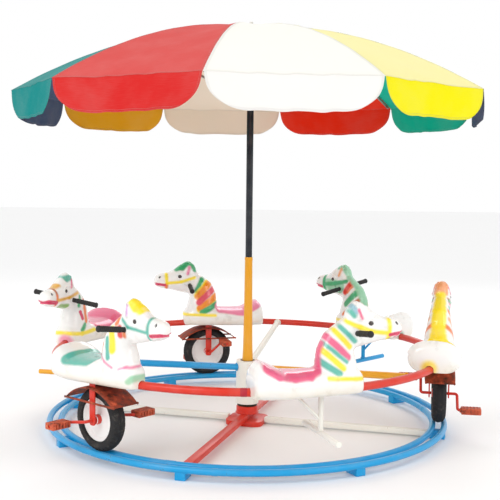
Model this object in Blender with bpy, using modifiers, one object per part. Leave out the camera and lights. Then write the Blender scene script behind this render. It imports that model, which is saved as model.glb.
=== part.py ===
"""Pedal carousel: six ride-on horses on a ring that three tricycle wheels carry
round a circular rail track, under a ten-panel umbrella on a central post.

Metres, +Z up. The origin is on the floor, on the axis that the carousel turns about.
"""
import math

import bmesh
import bpy
from mathutils import Matrix, Vector

# Running gap between pieces that touch.
SEAT_GAP = 0.0003

# Circular rail track and its feet.
TRACK_RADIUS = 0.958
RAIL_RADIUS = 0.015
RAIL_SPACING = 0.054
RAIL_HEIGHT = 0.045
RAIL_SEGMENTS = 56
FOOT_COUNT = 8
FOOT_WIDTH = 0.046
FOOT_INNER_RADIUS = 0.915
FOOT_OUTER_RADIUS = 0.996

# Cross of rectangular tubes on the floor, and the plate that joins it.
BAR_WIDTH = 0.040
BAR_HEIGHT = 0.025
BAR_REACH = 0.9144
RED_BAR_AZIMUTH = 74.0
WHITE_BAR_FLOOR = 0.010
PLATE_SIDE = 0.190
PLATE_CORNER = 0.045
PLATE_HEIGHT = 0.025
SOCKET_RADIUS = 0.055
SOCKET_TOP = 0.089
THRUST_RING_RADIUS = 0.050
THRUST_RING_HEIGHT = 0.012

# Hub sleeve that turns about the post.
SLEEVE_RADIUS = 0.0575
SLEEVE_BORE = 0.038
SLEEVE_TOP = 0.321
BUSH_HEIGHT = 0.020
BUSH_BORE = 0.0285

# Post, umbrella pole and umbrella.
POST_TOP = 0.846
POST_TOP_RADIUS = 0.019
POST_FOOT_RADIUS = 0.027
POST_MIDDLE = ((0.0210, 0.600), (0.0240, 0.400), (0.0270, 0.330))
POLE_RADIUS = 0.0170
POLE_DEPTH_IN_POST = 0.150
CANOPY_RADIUS = 1.161
CANOPY_APEX = 1.993
CANOPY_FALL = 0.2522
CANOPY_THICKNESS = 0.006
CANOPY_PANELS = 10
CANOPY_STEPS = 6
CANOPY_TURN = 9.0
SKIRT_DROP = 0.143
RIB_SIZE = 0.010
RIB_REACH = 1.131
RIB_BENDS = (2, 3, 4, 5)
STRETCHER_BEND = 3
RIDGE_SLOPE = 0.20
CROWN_RADIUS = 0.036
CROWN_HEIGHT = 0.026
CROWN_DROP = 0.0025
RUNNER_HEIGHT = 1.660
CAP_PROFILE = ((0.0, 0.022), (0.012, 0.020), (0.022, 0.010), (0.024, 0.0), (0.0, 0.0))

# Ring that carries the horses, and its three spokes.
RING_RADIUS = 0.958
RING_TUBE = 0.018
RING_HEIGHT = 0.373
RING_SEGMENTS = 56
SPOKE_TUBE = 0.0165
SPOKE_HUB_HEIGHT = 0.288
SPOKE_START = 0.0592
SPOKE_END = 0.9378
SPOKE_AZIMUTHS = {"white": 79.0, "blue": 199.0, "yellow": 319.0}
SPOKE_PAINTS = {"white": "cream_white", "blue": "spoke_blue", "yellow": "post_yellow"}

# Horses: azimuth of each body's middle, counter-clockwise seen from above.
HORSE_AZIMUTHS = (42.0, 99.5, 158.5, 228.0, 285.0, 345.0)
HORSE_FLOOR = RING_HEIGHT - 0.024
HORSE_INSET = 0.012
HORSE_WALL = 0.012
HOLLOW_LENGTH = 0.93
HOLLOW_DEPTH = 0.050
# The handle bars tilt a little, their outer ends up; the sixth horse has none.
HANDLE_HORSES = (0, 1, 2, 3, 4)
HANDLE_FORWARD = 0.2033
HANDLE_HEIGHT = 0.2567
HANDLE_RADIUS = 0.0115
HANDLE_HALF_LENGTH = 0.190
HANDLE_TILT = 8.0

# Wheels under every second horse; how far ahead of the horse's middle, in degrees.
WHEEL_HORSES = (1, 3, 5)
WHEEL_AHEAD = (5.5, 0.5, 5.5)
TYRE_RADIUS = 0.143
TYRE_SECTION = 0.034
TYRE_SEGMENTS = 26
TYRE_CLEARANCE = 0.0010
RIM_RADIUS = 0.098
RIM_LIP = 0.016
RIM_HALF_WIDTH = 0.020
WEB_HALF_WIDTH = 0.006
HUB_RADIUS = 0.022
HUB_HALF_WIDTH = 0.036
AXLE_RADIUS = 0.007
AXLE_PLAY = 0.0005
CRANK_LENGTH = 0.105
CRANK_OFFSET = 0.088
CRANK_ANGLES = (-42.0, 190.0, 215.0)
PEDAL_LENGTH = 0.095
PEDAL_WIDTH = 0.058
PEDAL_THICKNESS = 0.030
PEDAL_START = 0.104
LEG_OFFSET = 0.047
LEG_THICKNESS = 0.006
LEG_WIDTH = 0.035
LEG_BELOW_AXLE = 0.022
GUARD_HALF_WIDTH = 0.072
GUARD_HALF_LENGTH = 0.165
GUARD_DROP = 0.066
GUARD_THICKNESS = 0.003
GUARD_TOP = 0.3470
STAY_NEAR = 0.0660
STAY_FAR = 0.0715
STAY_HEIGHT = 0.009

# Footrests of the other horses: paint, and degrees ahead of the horse's middle.
FOOTREST_HORSES = {0: ("spoke_blue", 3.6), 2: ("post_yellow", 8.1), 4: ("cream_white", 3.6)}
REST_TUBE = 0.0125
REST_POST_TUBE = 0.0112
REST_HEIGHT = 0.195
REST_INNER = 0.780
REST_OUTER = 1.150
BRACE_TUBE = 0.006
BRACE_BACK = 0.100
BRACE_HEIGHT = 0.250
BRACE_INWARD = 0.005

# Side profile of a horse's body: forward, underside, top, half width.
BODY_STATIONS = (
    (-0.240, 0.030, 0.095, 0.080),
    (-0.230, -0.005, 0.130, 0.108),
    (-0.205, -0.030, 0.158, 0.124),
    (-0.165, -0.030, 0.142, 0.126),
    (-0.115, -0.030, 0.116, 0.121),
    (-0.045, -0.030, 0.113, 0.110),
    (0.030, -0.030, 0.116, 0.096),
    (0.110, -0.030, 0.128, 0.086),
    (0.185, -0.020, 0.124, 0.075),
    (0.222, 0.004, 0.108, 0.060),
    (0.240, 0.030, 0.088, 0.040),
)
# Sections of a horse's neck and head: back or top point, front or underside point, half width.
NECK_SECTIONS = (
    ((0.040, 0.070), (0.226, 0.060), 0.076),
    ((0.034, 0.137), (0.213, 0.137), 0.070),
    ((0.042, 0.200), (0.199, 0.184), 0.059),
    ((0.072, 0.262), (0.205, 0.195), 0.052),
    ((0.122, 0.300), (0.215, 0.200), 0.048),
    ((0.157, 0.326), (0.226, 0.202), 0.046),
    ((0.176, 0.367), (0.240, 0.205), 0.044),
    ((0.206, 0.391), (0.255, 0.208), 0.043),
    ((0.262, 0.369), (0.281, 0.214), 0.045),
    ((0.296, 0.341), (0.305, 0.221), 0.045),
    ((0.335, 0.322), (0.340, 0.227), 0.039),
    ((0.372, 0.319), (0.374, 0.232), 0.040),
    ((0.398, 0.309), (0.400, 0.242), 0.037),
    ((0.412, 0.289), (0.413, 0.262), 0.022),
)

PAINT = {
    "track_blue": ((0.02, 0.36, 0.75), 0.35),
    "spoke_blue": ((0.04, 0.38, 0.72), 0.35),
    "signal_red": ((0.72, 0.06, 0.04), 0.35),
    "cream_white": ((0.88, 0.87, 0.82), 0.35),
    "post_yellow": ((0.83, 0.43, 0.03), 0.35),
    "pole_navy": ((0.015, 0.035, 0.06), 0.35),
    "shell_white": ((0.90, 0.89, 0.84), 0.25),
    "rust_brown": ((0.36, 0.10, 0.04), 0.70),
    "rubber_black": ((0.02, 0.02, 0.022), 0.80),
    "dark_steel": ((0.05, 0.045, 0.04), 0.50),
    "canopy_cloth": ((0.80, 0.80, 0.76), 0.85),
    "rib_steel": ((0.45, 0.45, 0.46), 0.40),
}


def clear_scene():
    for item in list(bpy.data.objects):
        bpy.data.objects.remove(item, do_unlink=True)


def make_collection(name):
    collection = bpy.data.collections.new(name)
    bpy.context.scene.collection.children.link(collection)
    return collection


def make_paints():
    paints = {}
    for name, (colour, roughness) in PAINT.items():
        paint = bpy.data.materials.new(name)
        paint.use_nodes = True
        shader = paint.node_tree.nodes["Principled BSDF"]
        shader.inputs["Base Color"].default_value = (*colour, 1.0)
        shader.inputs["Roughness"].default_value = roughness
        shader.inputs["Metallic"].default_value = 0.8 if "steel" in name else 0.0
        paints[name] = paint
    return paints


def polar(radius, azimuth, height=0.0):
    angle = math.radians(azimuth)
    return Vector((radius * math.cos(angle), radius * math.sin(angle), height))


def place(item, location=(0, 0, 0), turn=0.0, parent=None):
    item.location = location
    item.rotation_euler = (0.0, 0.0, math.radians(turn))
    item.parent = parent
    return item


def add_empty(name, location=(0, 0, 0), turn=0.0, parent=None):
    empty = bpy.data.objects.new(name, None)
    parts.objects.link(empty)
    return place(empty, location, turn, parent)


def add_mesh(name, mesh, paint, group=None):
    """Object for a finished mesh; cutters go to their own collection."""
    item = bpy.data.objects.new(name, mesh)
    (group or parts).objects.link(item)
    if paint:
        mesh.materials.clear()
        mesh.materials.append(paints[paint])
    return item


def as_cutter(item):
    item.hide_render = True
    item.display_type = "WIRE"
    return item


def mesh_from(shape, name, smooth_angle=None):
    mesh = bpy.data.meshes.new(name)
    bmesh.ops.recalc_face_normals(shape, faces=shape.faces)
    shape.to_mesh(mesh)
    shape.free()
    if smooth_angle:
        mesh.shade_smooth()
        mesh.set_sharp_from_angle(angle=math.radians(smooth_angle))
    return mesh


def evaluated_mesh(item, name):
    """Mesh of an object with its modifiers, welded, in the object's own frame."""
    depsgraph = bpy.context.evaluated_depsgraph_get()
    mesh = bpy.data.meshes.new_from_object(item.evaluated_get(depsgraph))
    shape = bmesh.new()
    shape.from_mesh(mesh)
    bmesh.ops.remove_doubles(shape, verts=shape.verts, dist=0.00002)
    shape.to_mesh(mesh)
    shape.free()
    mesh.name = name
    return mesh


def block_mesh(name, low, high):
    low, high = Vector(low), Vector(high)
    shape = bmesh.new()
    size = high - low
    centre = (high + low) / 2
    matrix = Matrix.Translation(centre) @ Matrix.Diagonal((*size, 1.0))
    bmesh.ops.create_cube(shape, size=1.0, matrix=matrix)
    return mesh_from(shape, name)


def cylinder_mesh(name, radius, start, end, sides):
    """Cylinder from start to end, closed at both ends."""
    start, end = Vector(start), Vector(end)
    axis = end - start
    shape = bmesh.new()
    matrix = Matrix.Translation((start + end) / 2) @ axis.to_track_quat("Z", "Y").to_matrix().to_4x4()
    bmesh.ops.create_cone(
        shape, cap_ends=True, segments=sides, radius1=radius, radius2=radius,
        depth=axis.length, matrix=matrix)
    return mesh_from(shape, name, 40)


def turned(name, profile, steps, paint, group=None):
    """Solid of revolution about local Z; the profile is (radius, height) down the outer side."""
    mesh = bpy.data.meshes.new(name)
    points = [(radius, 0.0, height) for radius, height in profile]
    closed = profile[0][0] > 0.0
    edges = [(i, i + 1) for i in range(len(points) - 1)]
    if closed:
        edges.append((len(points) - 1, 0))
    mesh.from_pydata(points, edges, [])
    item = add_mesh(name, mesh, paint, group)
    screw = item.modifiers.new("Turn", "SCREW")
    screw.steps = steps
    screw.render_steps = steps
    screw.use_merge_vertices = True
    screw.merge_threshold = 0.0001
    screw.use_smooth_shade = False
    return item


def torus_mesh(name, radius, tube, segments, sides):
    bpy.ops.mesh.primitive_torus_add(
        major_radius=radius, minor_radius=tube, major_segments=segments, minor_segments=sides)
    item = bpy.context.object
    mesh = item.data
    mesh.name = name
    bpy.data.objects.remove(item)
    mesh.shade_smooth()
    return mesh


def tube_object(name, points, radius, paint, resolution=2):
    """Round rod along straight runs between the points."""
    curve = bpy.data.curves.new(name, "CURVE")
    curve.dimensions = "3D"
    curve.bevel_depth = radius
    curve.bevel_resolution = resolution
    curve.use_fill_caps = True
    spline = curve.splines.new("POLY")
    spline.points.add(len(points) - 1)
    for target, point in zip(spline.points, points):
        target.co = (*point, 1.0)
    item = bpy.data.objects.new(name, curve)
    parts.objects.link(item)
    curve.materials.append(paints[paint])
    return item


def loft_mesh(name, rings):
    """Skin through rings of points, each ring with the same number, closed by end faces."""
    shape = bmesh.new()
    loops = [[shape.verts.new(point) for point in ring] for ring in rings]
    count = len(loops[0])
    for near, far in zip(loops, loops[1:]):
        for i in range(count):
            shape.faces.new((near[i], near[(i + 1) % count], far[(i + 1) % count], far[i]))
    shape.faces.new(loops[0])
    shape.faces.new(list(reversed(loops[-1])))
    return mesh_from(shape, name, 50)


def combine(target, other, operation):
    modifier = target.modifiers.new(operation.title(), "BOOLEAN")
    modifier.operation = operation
    modifier.solver = "EXACT"
    modifier.object = other


def union_mesh(name, meshes):
    """One closed mesh out of several that overlap."""
    base = add_mesh(name, meshes[0], None, cutters)
    others = []
    for mesh in meshes[1:]:
        other = add_mesh(name + "_tool", mesh, None, cutters)
        combine(base, other, "UNION")
        others.append(other)
    joined = evaluated_mesh(base, name)
    for item in [base, *others]:
        bpy.data.objects.remove(item)
    return joined


# Base.
def build_track():
    # The outer rail's straight facets stay outside its true circle, so the tyres run clear all round.
    outer_radius = (TRACK_RADIUS + RAIL_SPACING / 2) / math.cos(math.pi / RAIL_SEGMENTS)
    rails = [
        torus_mesh("rail", radius, RAIL_RADIUS, RAIL_SEGMENTS, 8)
        for radius in (TRACK_RADIUS - RAIL_SPACING / 2, outer_radius)
    ]
    for rail in rails:
        rail.transform(Matrix.Translation((0, 0, RAIL_HEIGHT)))
    feet = []
    for index in range(FOOT_COUNT):
        foot = block_mesh(
            "foot",
            (FOOT_INNER_RADIUS, -FOOT_WIDTH / 2, 0.0),
            (FOOT_OUTER_RADIUS, FOOT_WIDTH / 2, RAIL_HEIGHT - 0.004))
        foot.transform(Matrix.Rotation(math.radians(RED_BAR_AZIMUTH + 360 / FOOT_COUNT * index), 4, "Z"))
        feet.append(foot)
    add_mesh("track_ring", union_mesh("track_ring", rails + feet), "track_blue")


def build_cross():
    red_floor = PLATE_HEIGHT + SEAT_GAP
    red = add_mesh(
        "base_bar_red",
        block_mesh("base_bar_red", (-BAR_REACH, -BAR_WIDTH / 2, red_floor),
                   (BAR_REACH, BAR_WIDTH / 2, red_floor + BAR_HEIGHT)),
        "signal_red")
    place(red, turn=RED_BAR_AZIMUTH)
    start = PLATE_SIDE / 2 + SEAT_GAP
    for side, turn in (("right", RED_BAR_AZIMUTH - 90), ("left", RED_BAR_AZIMUTH + 90)):
        name = "base_bar_white_" + side
        half = add_mesh(
            name,
            block_mesh(name, (start, -BAR_WIDTH / 2, WHITE_BAR_FLOOR),
                       (BAR_REACH, BAR_WIDTH / 2, WHITE_BAR_FLOOR + BAR_HEIGHT)),
            "cream_white")
        place(half, turn=turn)
    build_plate()


def build_plate():
    mesh = block_mesh("centre_plate", (-PLATE_SIDE / 2, -PLATE_SIDE / 2, 0.0),
                      (PLATE_SIDE / 2, PLATE_SIDE / 2, PLATE_HEIGHT))
    shape = bmesh.new()
    shape.from_mesh(mesh)
    upright = [edge for edge in shape.edges if abs(edge.verts[0].co.z - edge.verts[1].co.z) > PLATE_HEIGHT / 2]
    bmesh.ops.bevel(shape, geom=upright, offset=PLATE_CORNER, segments=4, profile=0.5, affect="EDGES")
    shape.to_mesh(mesh)
    shape.free()
    place(add_mesh("centre_plate", mesh, "signal_red"), turn=RED_BAR_AZIMUTH)
    socket_floor = PLATE_HEIGHT + BAR_HEIGHT + 2 * SEAT_GAP
    add_mesh(
        "centre_socket",
        cylinder_mesh("centre_socket", SOCKET_RADIUS, (0, 0, socket_floor), (0, 0, SOCKET_TOP), 24),
        "signal_red")
    bore = POST_FOOT_RADIUS + 2 * SEAT_GAP
    floor = SOCKET_TOP + SEAT_GAP
    top = floor + THRUST_RING_HEIGHT
    turned("thrust_ring", ((THRUST_RING_RADIUS, top), (THRUST_RING_RADIUS, floor), (bore, floor), (bore, top)),
           24, "dark_steel")


def build_post():
    floor = SOCKET_TOP + SEAT_GAP
    bore = POLE_RADIUS + SEAT_GAP
    bore_floor = POST_TOP - POLE_DEPTH_IN_POST
    profile = (
        (0.0, bore_floor), (bore, bore_floor), (bore, POST_TOP), (POST_TOP_RADIUS, POST_TOP), *POST_MIDDLE,
        (POST_FOOT_RADIUS, floor), (0.0, floor),
    )
    turned("yellow_post", profile, 16, "post_yellow")
    pole_top = CANOPY_APEX - CANOPY_THICKNESS - CROWN_DROP
    add_mesh(
        "umbrella_pole",
        cylinder_mesh("umbrella_pole", POLE_RADIUS, (0, 0, bore_floor + SEAT_GAP), (0, 0, pole_top), 16),
        "pole_navy")


def canopy_height(radius):
    return CANOPY_APEX - CANOPY_FALL * radius ** 2


def canopy_ring(step):
    return CANOPY_RADIUS * step / CANOPY_STEPS


def rib_height(radius):
    """Centre height of a rib that lies under the ridge between two panels."""
    step = int(radius / CANOPY_RADIUS * CANOPY_STEPS)
    near, far = canopy_ring(step), canopy_ring(step + 1)
    share = (radius - near) / (min(far, CANOPY_RADIUS - CANOPY_THICKNESS) - near)
    ridge = canopy_height(near) + share * (canopy_height(far) - canopy_height(near))
    side_fall = RIDGE_SLOPE * radius / CANOPY_RADIUS * RIB_SIZE / 2
    return ridge - CANOPY_THICKNESS - side_fall - SEAT_GAP - RIB_SIZE / 2


def build_canopy():
    radii = [canopy_ring(step) for step in range(1, CANOPY_STEPS + 1)]
    rim = canopy_height(CANOPY_RADIUS)
    wall = CANOPY_THICKNESS
    outer = [(0.0, CANOPY_APEX)] + [(radius, canopy_height(radius)) for radius in radii]
    inner = [(CANOPY_RADIUS, rim - wall), (CANOPY_RADIUS - wall, rim - wall)]
    inner += [(radius, canopy_height(radius) - wall) for radius in reversed(radii[:-1])]
    inner.append((0.0, CANOPY_APEX - wall))
    place(turned("canopy", outer + inner, CANOPY_PANELS, "canopy_cloth"), turn=CANOPY_TURN)
    hem = rim - SKIRT_DROP
    seam = rim - wall - SEAT_GAP
    skirt = ((CANOPY_RADIUS, seam), (CANOPY_RADIUS, hem), (CANOPY_RADIUS - wall, hem), (CANOPY_RADIUS - wall, seam))
    place(turned("canopy_skirt", skirt, CANOPY_PANELS, "canopy_cloth"), turn=CANOPY_TURN)
    cap_floor = CANOPY_APEX + SEAT_GAP
    turned("top_cap", [(radius, cap_floor + height) for radius, height in CAP_PROFILE], 16, "canopy_cloth")


def spider_mesh(name, hub_low, hub_high, arm_points, arm_size):
    """Round hub with one arm out of every second side, along points of (radius, height)."""
    shape = bmesh.new()
    bmesh.ops.create_cone(
        shape, cap_ends=True, segments=CANOPY_PANELS * 2, radius1=CROWN_RADIUS, radius2=CROWN_RADIUS,
        depth=hub_high - hub_low, matrix=Matrix.Translation((0, 0, (hub_low + hub_high) / 2)))
    walls = sorted(
        (face for face in shape.faces if abs(face.normal.z) < 0.5),
        key=lambda face: math.atan2(face.normal.y, face.normal.x))
    first = math.atan2(walls[0].normal.y, walls[0].normal.x)
    for tip in walls[::2]:
        outward = Vector((tip.normal.x, tip.normal.y, 0.0)).normalized()
        sideways = Vector((-outward.y, outward.x, 0.0))
        for radius, height in arm_points:
            tip = bmesh.ops.extrude_discrete_faces(shape, faces=[tip])["faces"][0]
            middle = tip.calc_center_median().z
            for vert in tip.verts:
                side = math.copysign(arm_size / 2, vert.co.dot(sideways))
                rise = math.copysign(arm_size / 2, vert.co.z - middle)
                vert.co = outward * radius + sideways * side + Vector((0, 0, height + rise))
    turn = math.radians(CANOPY_TURN) - first
    bmesh.ops.rotate(shape, verts=shape.verts, cent=(0, 0, 0), matrix=Matrix.Rotation(turn, 3, "Z"))
    return mesh_from(shape, name)


def bored(name, mesh, paint, radius, low, high):
    """Solid with a round bore cut through it about Z."""
    drill_mesh = cylinder_mesh(name + "_bore", radius, (0, 0, low), (0, 0, high), 16)
    drill = as_cutter(add_mesh(name + "_bore", drill_mesh, None, cutters))
    item = add_mesh(name, mesh, paint)
    combine(item, drill, "DIFFERENCE")
    return item


def build_ribs():
    crown_high = CANOPY_APEX - CANOPY_THICKNESS - CROWN_DROP
    crown_low = crown_high - CROWN_HEIGHT
    reach = [CROWN_RADIUS * 2, *[canopy_ring(step) for step in RIB_BENDS], RIB_REACH]
    rib_line = [(radius, rib_height(radius)) for radius in reach]
    bored("rib_frame", spider_mesh("rib_frame", crown_low, crown_high, rib_line, RIB_SIZE), "rib_steel",
          POLE_RADIUS + SEAT_GAP, crown_low - CROWN_HEIGHT, crown_high + CROWN_HEIGHT)
    runner_high = RUNNER_HEIGHT + CROWN_HEIGHT / 2
    runner_low = RUNNER_HEIGHT - CROWN_HEIGHT / 2
    meeting = canopy_ring(STRETCHER_BEND)
    stretcher_line = [(CROWN_RADIUS * 1.4, RUNNER_HEIGHT), (meeting, rib_height(meeting) - RIB_SIZE - SEAT_GAP)]
    bored("stretcher_frame", spider_mesh("stretcher_frame", runner_low, runner_high, stretcher_line, RIB_SIZE),
          "rib_steel", POLE_RADIUS + SEAT_GAP, runner_low - CROWN_HEIGHT, runner_high + CROWN_HEIGHT)


# Turning frame.
def build_hub(carousel):
    floor = SOCKET_TOP + THRUST_RING_HEIGHT + 2 * SEAT_GAP
    sleeve = turned("hub_sleeve", ((SLEEVE_RADIUS, SLEEVE_TOP), (SLEEVE_RADIUS, floor),
                                   (SLEEVE_BORE, floor), (SLEEVE_BORE, SLEEVE_TOP)), 24, "cream_white")
    bush_radius = SLEEVE_BORE - SEAT_GAP
    bush = turned("hub_bush", ((bush_radius, SLEEVE_TOP), (bush_radius, SLEEVE_TOP - BUSH_HEIGHT),
                               (BUSH_BORE, SLEEVE_TOP - BUSH_HEIGHT), (BUSH_BORE, SLEEVE_TOP)), 24, "dark_steel")
    place(sleeve, parent=carousel)
    place(bush, parent=carousel)
    for colour, azimuth in SPOKE_AZIMUTHS.items():
        spoke = tube_object(
            "spoke_" + colour,
            ((SPOKE_START, 0.0, SPOKE_HUB_HEIGHT), (SPOKE_END, 0.0, RING_HEIGHT)), SPOKE_TUBE,
            SPOKE_PAINTS[colour])
        place(spoke, turn=azimuth, parent=carousel)
    ring = add_mesh("horse_ring", torus_mesh("horse_ring", RING_RADIUS, RING_TUBE, RING_SEGMENTS, 8), "signal_red")
    place(ring, (0, 0, RING_HEIGHT), parent=carousel)


def oval_ring(centre, upward, half_height, half_width, count=10, squareness=2.5):
    """Points round a rounded-square section; upward lies in the plane of symmetry."""
    sideways = Vector((0.0, 1.0, 0.0))
    ring = []
    for index in range(count):
        angle = 2 * math.pi * (index + 0.5) / count
        rise = math.copysign(abs(math.cos(angle)) ** (2 / squareness), math.cos(angle))
        side = math.copysign(abs(math.sin(angle)) ** (2 / squareness), math.sin(angle))
        ring.append(centre + upward * (half_height * rise) + sideways * (half_width * side))
    return ring


def body_rings(stations, inset=0.0, floor_drop=0.0, count=10):
    rings = []
    for forward, underside, top, half_width in stations:
        low, high = underside - floor_drop, top - inset
        centre = Vector((forward, 0.0, (low + high) / 2))
        rings.append(oval_ring(centre, Vector((0, 0, 1)), (high - low) / 2, half_width - inset, count))
    return rings


def build_horse_mesh():
    """Hollow shell, open underneath, in the horse's own frame: +X forward, floor at z = 0."""
    body = loft_mesh("body", body_rings(BODY_STATIONS))
    neck_rings = []
    for back, front, half_width in NECK_SECTIONS:
        back_point = Vector((back[0], 0.0, back[1]))
        front_point = Vector((front[0], 0.0, front[1]))
        span = back_point - front_point
        neck_rings.append(oval_ring((back_point + front_point) / 2, span.normalized(),
                                    span.length / 2, half_width, squareness=2.2))
    neck = loft_mesh("neck", neck_rings)
    shell = add_mesh("shell", union_mesh("shell", (body, neck)), None, cutters)
    hollow_stations = [
        (forward * HOLLOW_LENGTH, low, top, width) for forward, low, top, width in BODY_STATIONS[1:-1:2]
    ]
    hollow = add_mesh("hollow", loft_mesh("hollow", body_rings(hollow_stations, HORSE_WALL, HOLLOW_DEPTH, 8)),
                      None, cutters)
    ground = add_mesh("ground", block_mesh("ground", (-1, -1, -1), (1, 1, 0)), None, cutters)
    for tool in (hollow, ground):
        combine(shell, tool, "DIFFERENCE")
    mesh = evaluated_mesh(shell, "horse_shell")
    for item in (shell, hollow, ground):
        bpy.data.objects.remove(item)
    mesh.shade_smooth()
    mesh.set_sharp_from_angle(angle=math.radians(50))
    return mesh


def build_ring_notch():
    """Cutter for the ring's path through the horses: the tube's outline, open downwards."""
    radius = RING_TUBE + SEAT_GAP
    arch = []
    for step in range(5):
        angle = math.radians(45 * step)
        arch.append((RING_RADIUS + radius * math.cos(angle), RING_HEIGHT + radius * math.sin(angle)))
    floor = HORSE_FLOOR - 0.02
    profile = [(RING_RADIUS - radius, floor)] + list(reversed(arch)) + [(RING_RADIUS + radius, floor)]
    notch = turned("ring_notch", profile, RING_SEGMENTS, None, cutters)
    return as_cutter(notch)


def handle_mesh(name, radius):
    """Straight bar across a horse's head, in the horse's own frame; +Y is the inner side."""
    tilt = math.radians(HANDLE_TILT)
    half = Vector((0.0, HANDLE_HALF_LENGTH * math.cos(tilt), -HANDLE_HALF_LENGTH * math.sin(tilt)))
    middle = Vector((HANDLE_FORWARD, 0.0, HANDLE_HEIGHT))
    return cylinder_mesh(name, radius, middle - half, middle + half, 12)


def build_horses(carousel):
    shell = build_horse_mesh()
    notch = build_ring_notch()
    for index, azimuth in enumerate(HORSE_AZIMUTHS):
        location = polar(RING_RADIUS - HORSE_INSET, azimuth, HORSE_FLOOR)
        horse = add_mesh("horse_%d" % (index + 1), shell.copy(), "shell_white")
        place(horse, location, azimuth + 90, carousel)
        combine(horse, notch, "DIFFERENCE")
        if index in HANDLE_HORSES:
            hole_mesh = handle_mesh("hole", HANDLE_RADIUS + SEAT_GAP)
            hole = as_cutter(add_mesh("handle_hole_%d" % (index + 1), hole_mesh, None, cutters))
            place(hole, location, azimuth + 90, carousel)
            combine(horse, hole, "DIFFERENCE")
            bar = handle_mesh("handlebar", HANDLE_RADIUS)
            handle = add_mesh("handlebar_%d" % (index + 1), bar, "rubber_black")
            place(handle, location, azimuth + 90, carousel)


# Footrests.
def build_footrest(index, azimuth, paint, carousel):
    top = RING_HEIGHT - RING_TUBE - SEAT_GAP
    post = cylinder_mesh("post", REST_POST_TUBE, (RING_RADIUS, 0, REST_HEIGHT), (RING_RADIUS, 0, top), 10)
    bar = cylinder_mesh("bar", REST_TUBE, (REST_INNER, 0, REST_HEIGHT), (REST_OUTER, 0, REST_HEIGHT), 12)
    brace = cylinder_mesh("brace", BRACE_TUBE, (RING_RADIUS, 0, BRACE_HEIGHT),
                          (RING_RADIUS - BRACE_INWARD, -BRACE_BACK, top - BRACE_TUBE), 8)
    rest = add_mesh("footrest_%d" % index, union_mesh("footrest", (post, bar, brace)), paint)
    place(rest, turn=azimuth, parent=carousel)


# Wheels with their forks, guards, cranks and pedals.
def axle_height():
    reach = RAIL_RADIUS + TYRE_SECTION + TYRE_CLEARANCE
    section_height = math.sqrt(reach ** 2 - (RAIL_SPACING / 2) ** 2)
    return RAIL_HEIGHT + section_height - TYRE_SECTION + TYRE_RADIUS


def add_drill(name, reach):
    """Cutter along local X for a hole that the crank turns in."""
    mesh = cylinder_mesh(name, AXLE_RADIUS + AXLE_PLAY, (-reach, 0, 0), (reach, 0, 0), 12)
    return as_cutter(add_mesh(name, mesh, None, cutters))


def follow(items, place_at, parent):
    for item in items:
        item.parent = parent
        item.location = place_at.location
        item.rotation_euler = place_at.rotation_euler


def build_fork(index, place_at, carousel):
    """Strap bent over the ring, its two legs down either side of the wheel."""
    bridge_low = RING_HEIGHT + RING_TUBE + SEAT_GAP - axle_height()
    bridge_high = bridge_low + LEG_THICKNESS
    foot = -LEG_BELOW_AXLE
    reach = LEG_OFFSET + LEG_THICKNESS / 2
    inner = LEG_OFFSET - LEG_THICKNESS / 2
    outline = ((-reach, foot), (-inner, foot), (-inner, bridge_low), (inner, bridge_low), (inner, foot),
               (reach, foot), (reach, bridge_high), (-reach, bridge_high))
    shape = bmesh.new()
    face = shape.faces.new([shape.verts.new((x, -LEG_WIDTH / 2, z)) for x, z in outline])
    grown = bmesh.ops.extrude_face_region(shape, geom=[face])
    moved = [item for item in grown["geom"] if isinstance(item, bmesh.types.BMVert)]
    bmesh.ops.translate(shape, verts=moved, vec=(0, LEG_WIDTH, 0))
    fork = add_mesh("fork_%d" % index, mesh_from(shape, "fork"), "signal_red")
    drill = add_drill("fork_drill_%d" % index, LEG_OFFSET * 2)
    combine(fork, drill, "DIFFERENCE")
    follow((fork, drill), place_at, carousel)


def build_guard(index, place_at, carousel):
    """Wide curved strip over the wheel, slotted for the fork's legs, with a straight stay along each side."""
    top = GUARD_TOP - axle_height()
    stations = [GUARD_HALF_LENGTH * step / 5 for step in range(-5, 6)]
    fall = GUARD_DROP / GUARD_HALF_LENGTH ** 2
    rings = []
    for forward in stations:
        height = top - fall * forward ** 2
        rings.append([(-GUARD_HALF_WIDTH, forward, height), (GUARD_HALF_WIDTH, forward, height),
                      (GUARD_HALF_WIDTH, forward, height - GUARD_THICKNESS),
                      (-GUARD_HALF_WIDTH, forward, height - GUARD_THICKNESS)])
    strip = loft_mesh("strip", rings)
    stay_low = top - GUARD_DROP - STAY_HEIGHT * 2 / 3
    stay_meshes = [
        block_mesh("stay", (low, -GUARD_HALF_LENGTH, stay_low), (high, GUARD_HALF_LENGTH, stay_low + STAY_HEIGHT))
        for low, high in ((-STAY_FAR, -STAY_NEAR), (STAY_NEAR, STAY_FAR))
    ]
    guard = add_mesh("mudguard_%d" % index, union_mesh("mudguard", [strip, *stay_meshes]), "rust_brown")
    follow((guard,), place_at, carousel)
    half_slot = LEG_THICKNESS / 2 + SEAT_GAP
    forward = LEG_WIDTH / 2 + SEAT_GAP
    for middle in (-LEG_OFFSET, LEG_OFFSET):
        slot_mesh = block_mesh("slot", (middle - half_slot, -forward, 0), (middle + half_slot, forward, GUARD_TOP))
        slot = as_cutter(add_mesh("leg_slot_%d" % index, slot_mesh, None, cutters))
        combine(guard, slot, "DIFFERENCE")
        follow((slot,), place_at, carousel)


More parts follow.
